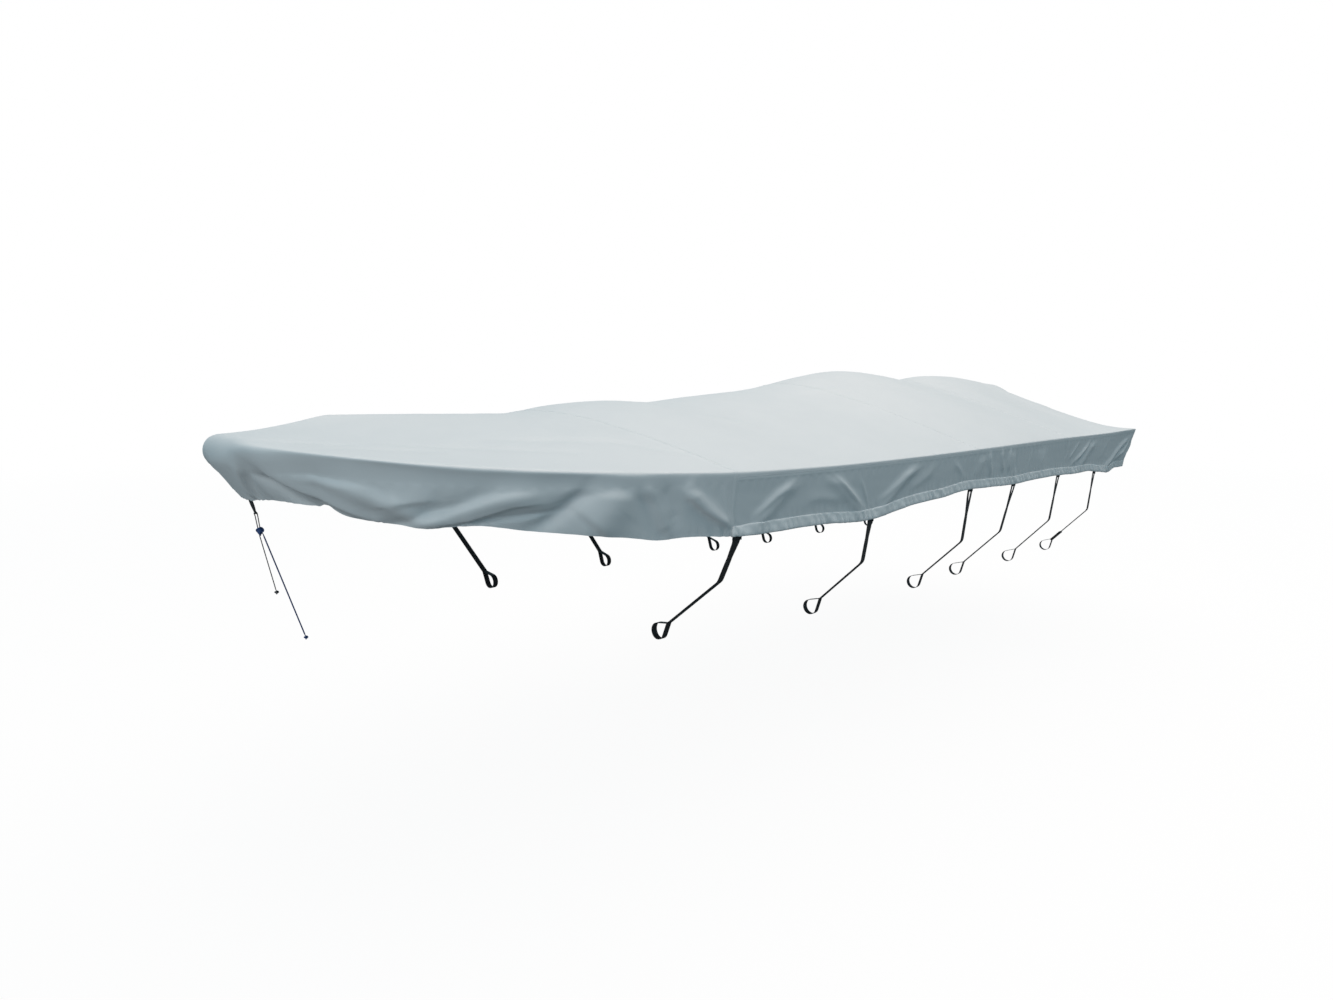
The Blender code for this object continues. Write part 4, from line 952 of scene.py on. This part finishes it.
seats = {(side, number): hem_seat(side, run) for side in (1, -1)
         for number, run in enumerate(strap_runs, 1)}
for (side, number), (origin, down, along, out) in seats.items():
    side_name = "port" if side > 0 else "starboard"
    back = origin - out * (tab_behind + tab_thick / 2)
    reach = np.linspace(-tab_rise, tab_hang, 12)
    tab = weave_tape(f"tab_{side_name}_{number}_tape", back + down * reach[:, None], along,
                     tab_width, tab_thick, tab_webbing)
    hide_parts(f"tab_{side_name}_{number}")


# Tie-down straps
# Black polypropylene webbing hangs from each tab, doubled, turns inwards lower down and ends in
# a loop for a hook. On the four aft pairs the two runs part like a V towards the tab.
loop_radius, loop_neck, ply_off, ply_thick = 0.0295, 0.060, 0.00078, 0.0014
strap_low_width, turn_radius, strap_pitch, strap_gap = 0.026, 0.035, 0.008, 0.0019
top_tuck, tab_clear, split_start, split_share = 0.016, 0.006, 0.022, 0.66
strap_rows = [             # turn out and up, loop out and up, spread and width at the top
    (0.825, -0.345, 0.530, -0.575, 0.0060, 0.026),
    (0.872, -0.392, 0.640, -0.612, 0.0060, 0.026),
    (0.871, -0.422, 0.640, -0.650, 0.0165, 0.018),
    (0.842, -0.440, 0.620, -0.665, 0.0165, 0.018),
    (0.855, -0.450, 0.640, -0.680, 0.0165, 0.018),
    (0.855, -0.455, 0.625, -0.700, 0.0160, 0.018),
]


def rounded(points, radius, steps):
    """Flat path with its inner corners turned into short arcs."""
    path = [points[0]]
    for before, corner, after in zip(points, points[1:], points[2:]):
        back, onward = unit(before - corner), unit(after - corner)
        turn = math.pi - math.acos(np.clip(back @ onward, -1, 1))
        cut = min(radius * math.tan(turn / 2), 0.45 * np.linalg.norm(after - corner))
        start, end = corner + back * cut, corner + onward * cut
        for u in np.linspace(0, 1, steps):
            path.append(start * (1 - u) ** 2 + corner * 2 * u * (1 - u) + end * u ** 2)
    return np.array(path + [points[-1]])


def evenly(path, pitch):
    """The same path with points about a pitch apart."""
    far = gone(path)
    stops = np.linspace(0, far[-1], max(2, round(far[-1] / pitch) + 1))
    return np.stack([np.interp(stops, far, path[:, k]) for k in range(path.shape[1])], 1), stops


def beside(path, by):
    ahead = np.gradient(path, axis=0)
    ahead /= np.linalg.norm(ahead, axis=1, keepdims=True)
    return path + np.stack([-ahead[:, 1], ahead[:, 0]], 1) * by


strap_laid = {}
for (side, number), (origin, down, along, out) in seats.items():
    side_name = "port" if side > 0 else "starboard"
    turn_half, turn_up, loop_half, loop_up, spread, top_width = strap_rows[number - 1]
    plan_out = unit(out * (1, 1, 0))
    level = np.array([plan_out[1], -plan_out[0], 0])
    ground = origin * (1, 1, 0)
    behind = origin - out * (tab_behind + tab_thick + strap_gap)
    high, low = (np.array([(spot - origin) @ plan_out, spot[2]])
                 for spot in (behind - down * top_tuck, behind + down * (tab_hang + tab_clear)))
    turn = np.array([turn_half - abs(origin[1]), turn_up - origin_rise])
    loop = np.array([loop_half - abs(origin[1]), loop_up - origin_rise])
    back = unit(turn - loop)
    fork = loop + back * loop_neck
    path, far = evenly(rounded([high, low, turn, fork], turn_radius, 9), strap_pitch)
    swing = math.acos(loop_radius / loop_neck)
    angles = math.atan2(back[1], back[0]) - np.linspace(swing, 2 * math.pi - swing, 26)
    ring = loop + loop_radius * np.stack([np.cos(angles), np.sin(angles)], 1)
    flat = np.concatenate([beside(path, ply_off), ring, beside(path, -ply_off)[::-1]])
    run_length = np.linalg.norm(turn - low)
    apart = 1 - smooth_step(0, 1, (far - split_start) / (split_share * run_length))
    apart = np.concatenate([apart, np.zeros(len(ring)), -apart[::-1]])
    centres = (ground + plan_out * flat[:, :1] + np.array([0, 0, 1]) * flat[:, 1:]
               + level * (apart * spread)[:, None])
    widths = strap_low_width + (top_width - strap_low_width) * np.abs(apart)
    strap = weave_tape(f"strap_{side_name}_{number}_tape", centres, level, widths, ply_thick,
                       strap_webbing)
    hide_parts(f"strap_{side_name}_{number}")
    strap_laid[side, number] = (ground, plan_out, level, turn, loop)


# Strap buckle
# Moulded black plastic, on the aft port strap alone: two rails with bars across, which the
# webbing threads over and under, and a plain bridge in the middle.
rail_at, rail_wide, buckle_thick, buckle_long = 0.0172, 0.0052, 0.010, 0.074
bar_wide, bar_long, bar_thick = 0.036, 0.0062, 0.0034
web_gap, end_bars, inner_bars = 0.0022, 0.0335, 0.022
bridge_long, plate_long, bridge_thick, buckle_share = 0.028, 0.050, 0.0028, 0.80
rib_up, rib_pitch, rib_sizes = 0.0030, 0.0045, (0.026, 0.0016, 0.0012)
buckle_edge = 0.0012
buckle_plastic, moulded, shader = new_material("buckle_plastic")
spot = add_node(moulded, "ShaderNodeTexCoord", {}).outputs["Object"]
grain = add_node(moulded, "ShaderNodeTexNoise", {"Vector": spot, "Scale": 900}).outputs["Fac"]
rough = add_node(moulded, "ShaderNodeBump", {
    "Strength": 0.3, "Distance": 0.0002, "Height": grain})
join(moulded, shader, {
    "Base Color": shade_between(moulded, grain, (0.010, 0.010, 0.011), (0.024, 0.024, 0.026)),
    "Normal": rough.outputs[0], "Roughness": 0.38})

ground, plan_out, level, turn, loop = strap_laid[1, 6]
stop = loop + unit(turn - loop) * loop_radius
middle = turn + (stop - turn) * buckle_share
slope = unit(turn - stop)
rising = plan_out * slope[0] + np.array([0, 0, slope[1]])
facing = np.cross(level, rising)
buckle_at = ground + plan_out * middle[0] + np.array([0, 0, middle[1]])
blocks = [((x, 0, 0), (rail_wide, buckle_long, buckle_thick)) for x in (-rail_at, rail_at)]
bar_places = [(y, way) for y in (-end_bars, end_bars) for way in (1, -1)]
blocks += [((0, y, way * (web_gap + bar_thick / 2)), (bar_wide, bar_long, bar_thick))
           for y, way in bar_places + [(-inner_bars, 1), (inner_bars, 1)]]
blocks += [((0, 0, web_gap + bridge_thick / 2), (bar_wide, bridge_long, bridge_thick)),
           ((0, 0, -web_gap - bridge_thick / 2), (bar_wide, plate_long, bridge_thick))]
blocks += [((0, rib_pitch * k, web_gap + rib_up), rib_sizes) for k in (-2, -1, 0, 1, 2)]
form = bmesh.new()
for centre, sizes in blocks:
    cube = bmesh.ops.create_cube(form, size=1.0)["verts"]
    for vertex in cube:
        vertex.co = Vector(a * b + c for a, b, c in zip(vertex.co, sizes, centre))
    edges = list({edge for vertex in cube for edge in vertex.link_edges})
    bmesh.ops.bevel(form, geom=edges, offset=min(buckle_edge, 0.3 * min(sizes)), segments=2,
                    affect="EDGES")
for vertex in form.verts:
    x, y, z = vertex.co
    vertex.co = Vector(buckle_at + level * x + rising * y + facing * z)
bmesh.ops.recalc_face_normals(form, faces=form.faces)
buckle_mesh = bpy.data.meshes.new("strap_buckle_moulding")
form.to_mesh(buckle_mesh)
form.free()
buckle_mesh.materials.append(buckle_plastic)
buckle = add_object("strap_buckle_moulding", buckle_mesh)
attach(buckle, "root")
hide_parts("strap_buckle")


# Bow tab
# A narrow webbing tab, doubled and sewn into the bow hem at the stem, with an eye near its end
# for the cord loop.
bow_tab_end = np.array([2.4530, -0.3266])
bow_tab_wide, bow_tab_tip, bow_tab_thick, bow_tab_clear = 0.033, 0.015, 0.003, 0.003
bow_tab_rise, bow_tab_hang, bow_tab_bend = 0.018, 0.001, 0.006
bow_tab_eye, bow_eye_up = 0.0035, 0.0070
bow_top, bow_hem_low = lay_cloth(1, [0.0], drop=np.array([0.79, 1.0]), crisp=False)[0][:, ::2]
bow_slope = unit(bow_hem_low - bow_top)
bow_inward = np.array([bow_slope[1], -bow_slope[0]])
bow_behind = bow_hem_low + bow_inward * (tab_behind + bow_tab_thick / 2 + bow_tab_clear)
tab_turns = [bow_behind - bow_slope * bow_tab_rise, bow_behind + bow_slope * bow_tab_hang,
             bow_tab_end]
tab_route, tab_far = evenly(rounded(tab_turns, bow_tab_bend, 5), 0.003)
tab_up = unit(tab_route[-2] - tab_route[-1])
tab_square = np.array([tab_up[1], -tab_up[0]])
eye = bow_tab_end + tab_up * bow_eye_up


def upright(flat):
    """Point or points of the centre plane, x and z, in the cover's own frame."""
    flat = np.asarray(flat)
    return np.stack([flat[..., 0], np.zeros(flat.shape[:-1]), flat[..., 1]], -1)


narrow = smooth_step(0.55, 1.0, tab_far / tab_far[-1])
tab_widths = bow_tab_wide + (bow_tab_tip - bow_tab_wide) * narrow
bow_tab = weave_tape("bow_tab_tape", upright(tab_route), (0, 1, 0), tab_widths, bow_tab_thick,
                     tab_webbing)
eye_cut = bpy.data.meshes.new("eye_cut")
form = bmesh.new()
bmesh.ops.create_cone(form, cap_ends=True, segments=20, radius1=bow_tab_eye, radius2=bow_tab_eye,
                      depth=0.012)
for vertex in form.verts:
    x, y, z = vertex.co
    vertex.co = Vector(upright(eye + tab_up * y + tab_square * z) + (0, x, 0))
bmesh.ops.recalc_face_normals(form, faces=form.faces)
form.to_mesh(eye_cut)
form.free()
cutter = add_object("eye_cut", eye_cut)
opening = bow_tab.modifiers.new("Eye", "BOOLEAN")
opening.operation, opening.solver, opening.object = "DIFFERENCE", "EXACT", cutter
opened = settled(bow_tab)
bow_tab.modifiers.clear()
bow_tab.data = opened
bpy.data.objects.remove(cutter)
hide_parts("bow_tab")


# Bow tie
# A loop of thin flecked cord passes through the eye and down into a knot. Two braided cords come
# out below it, a flecked one and a thicker blue one, pulled straight, each with a knotted end.
fleck_cord, blue_cord = 0.003, 0.0042
knot_at = np.array([2.4443, -0.3788])
fleck_end, blue_end = np.array([2.4088, -0.5696]), np.array([2.3300, -0.7276])
end_knot_radius, cord_apart, cord_start = 0.0065, 0.0046, 0.0080
knot_size, knot_core = (0.0092, 0.0130, 0.0068), (0.0085, 0.0075, 0.0115)
cord_gap, foot_rise, foot_apart, loop_drop = 0.0004, 0.0090, 0.0030, 0.004


def braided_group():
    """Crossing strands of a round braid: U along the cord in metres, V once round it."""
    group, given, result, spot, along, across = thread_group(
        "braided", {"Plait": 0.006, "Strands": 4.0}, ("Fleck", "Height"))
    far = maths(group, "DIVIDE", along, given["Plait"])
    around = maths(group, "MULTIPLY", across, given["Strands"])
    right, left = (maths(group, "SINE", maths(group, "MULTIPLY", maths(group, way, far, around),
                                              2 * math.pi)) for way in ("ADD", "SUBTRACT"))
    join(group, result, {
        "Height": maths(group, "ABSOLUTE", maths(group, "MULTIPLY", right, left)),
        "Fleck": maths(group, "MULTIPLY", maths(group, "GREATER_THAN", right, 0.45),
                       maths(group, "GREATER_THAN", left, -0.1))})
    return group


braided = braided_group()


def braid_material(name, base, fleck, plait):
    return thread_material(name, braided, {"Plait": plait, "Strands": 2.0}, base, fleck, (0, 1),
                           1.0, 0.0005, {"Roughness": 0.5})[0]


blue_braid = braid_material("blue_braid", (0.030, 0.075, 0.230), (0.055, 0.120, 0.330), 0.007)
fleck_braid = braid_material("fleck_braid", (0.015, 0.015, 0.018), (0.55, 0.56, 0.58), 0.006)


def braid_tube(name, routes, diameter, material, core=None):
    """Round cord along routes of points, and a core of the same braid where one is given."""
    grids = []
    around = np.linspace(0, 2 * math.pi, 13)
    for route, closed in routes:
        route = np.asarray(route, float)
        ahead = np.gradient(route, axis=0)
        if closed:
            ahead[0] = ahead[-1] = route[1] - route[-2]
        ahead /= np.linalg.norm(ahead, axis=1, keepdims=True)
        side_way = np.array((0.0, 1.0, 0.0) if abs(ahead[0][1]) < 0.8 else (1.0, 0.0, 0.0))
        ways = []
        for way in ahead:
            side_way = unit(side_way - way * (side_way @ way))
            ways.append(side_way)
        ways = np.array(ways)
        thin = np.full(len(route), diameter / 2)
        if not closed:
            thin[[0, -1]] *= 0.5
        turned = (np.cos(around)[None, :, None] * ways[:, None]
                  + np.sin(around)[None, :, None] * np.cross(ahead, ways)[:, None])
        grids.append((route[:, None] + thin[:, None, None] * turned, False))
    if core is not None:
        centre, radii = core
        dip, swing = np.linspace(-math.pi / 2, math.pi / 2, 9)[:, None], around[None, :]
        ball = np.stack([np.cos(dip) * np.cos(swing), np.cos(dip) * np.sin(swing),
                         np.sin(dip) * np.ones_like(swing)], 2)
        grids.append((centre + ball * radii, False))
    cord = sew_sheet(name, grids, material, 0)
    spots = cord.data.uv_layers["cloth"].data
    values = np.empty(len(spots) * 2)
    spots.foreach_get("uv", values)
    values[1::2] /= math.pi * diameter
    spots.foreach_set("uv", values)
    close_tube(cord)
    return cord


def trefoil(centre, wide, tall, deep):
    """Closed route of an overhand knot pulled tight."""
    t = np.linspace(0, 2 * math.pi, 61)
    shape = np.stack([(np.sin(t) + 2 * np.sin(2 * t)) / 3 * wide, -np.sin(3 * t) * deep,
                      (np.cos(t) - 2 * np.cos(2 * t)) / 3 * tall], 1)
    return centre + shape


def smooth_route(points, pitch):
    """Points on a smooth curve through a few places."""
    points = np.asarray(points)
    route = []
    for i, (start, end) in enumerate(zip(points, points[1:])):
        before, after = points[max(i - 1, 0)], points[min(i + 2, len(points) - 1)]
        count = max(2, round(np.linalg.norm(end - start) / pitch))
        for u in np.linspace(0, 1, count, endpoint=False):
            route.append(cubic(start, end, (end - before) / 2, (after - start) / 2, u))
    return np.array(route + [points[-1]])


ease = fleck_cord / 2 + cord_gap
cord_seat = eye - tab_up * (bow_tab_eye - ease)
clear = bow_tab_thick / 2 + ease + 0.0003
loop_places = []
for way in (1, -1):
    foot = knot_at + tab_up * foot_rise + tab_square * way * foot_apart
    low = eye - tab_up * (bow_eye_up + loop_drop) + tab_square * way * clear
    strand = [foot, (foot + low) / 2, low,
              eye - tab_up * 0.0050 + tab_square * way * (clear + 0.0004),
              cord_seat - tab_up * 0.0006 + tab_square * way * (clear - 0.0010)]
    loop_places += strand + [cord_seat] if way > 0 else strand[::-1]
loop_route = smooth_route(upright(loop_places), 0.0025)
loop_cord = braid_tube("bow_loop_braid", [(loop_route, False)], fleck_cord, fleck_braid)
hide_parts("bow_loop_cord")
knot_centre = upright(knot_at)
bow_knot = braid_tube("bow_knot_braid", [(trefoil(knot_centre, *knot_size), True)], blue_cord,
                      blue_braid, (knot_centre, knot_core))
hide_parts("bow_knot")


def length_of(route):
    return float(gone(route)[-1])


length_of(loop_route)
for label, end, diameter, shift, braid in (
        ("fleck", fleck_end, fleck_cord, cord_apart, fleck_braid),
        ("blue", blue_end, blue_cord, -cord_apart, blue_braid)):
    foot = knot_at + (shift, 0) + unit(end - knot_at) * cord_start
    route = upright(foot + (end - foot) * np.linspace(0, 1, 25)[:, None])
    cord = braid_tube(f"bow_{label}_braid", [(route, False)], diameter, braid)
    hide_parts(f"bow_{label}_cord")
    centre = upright(end + unit(end - foot) * end_knot_radius / 3)
    room = end_knot_radius - diameter / 2
    knot = braid_tube(f"bow_{label}_end_braid", [(trefoil(centre, room, room, room * 0.8), True)],
                      diameter, braid, (centre, (room * 0.9,) * 3))
    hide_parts(f"bow_{label}_end_knot")
    length_of(route)
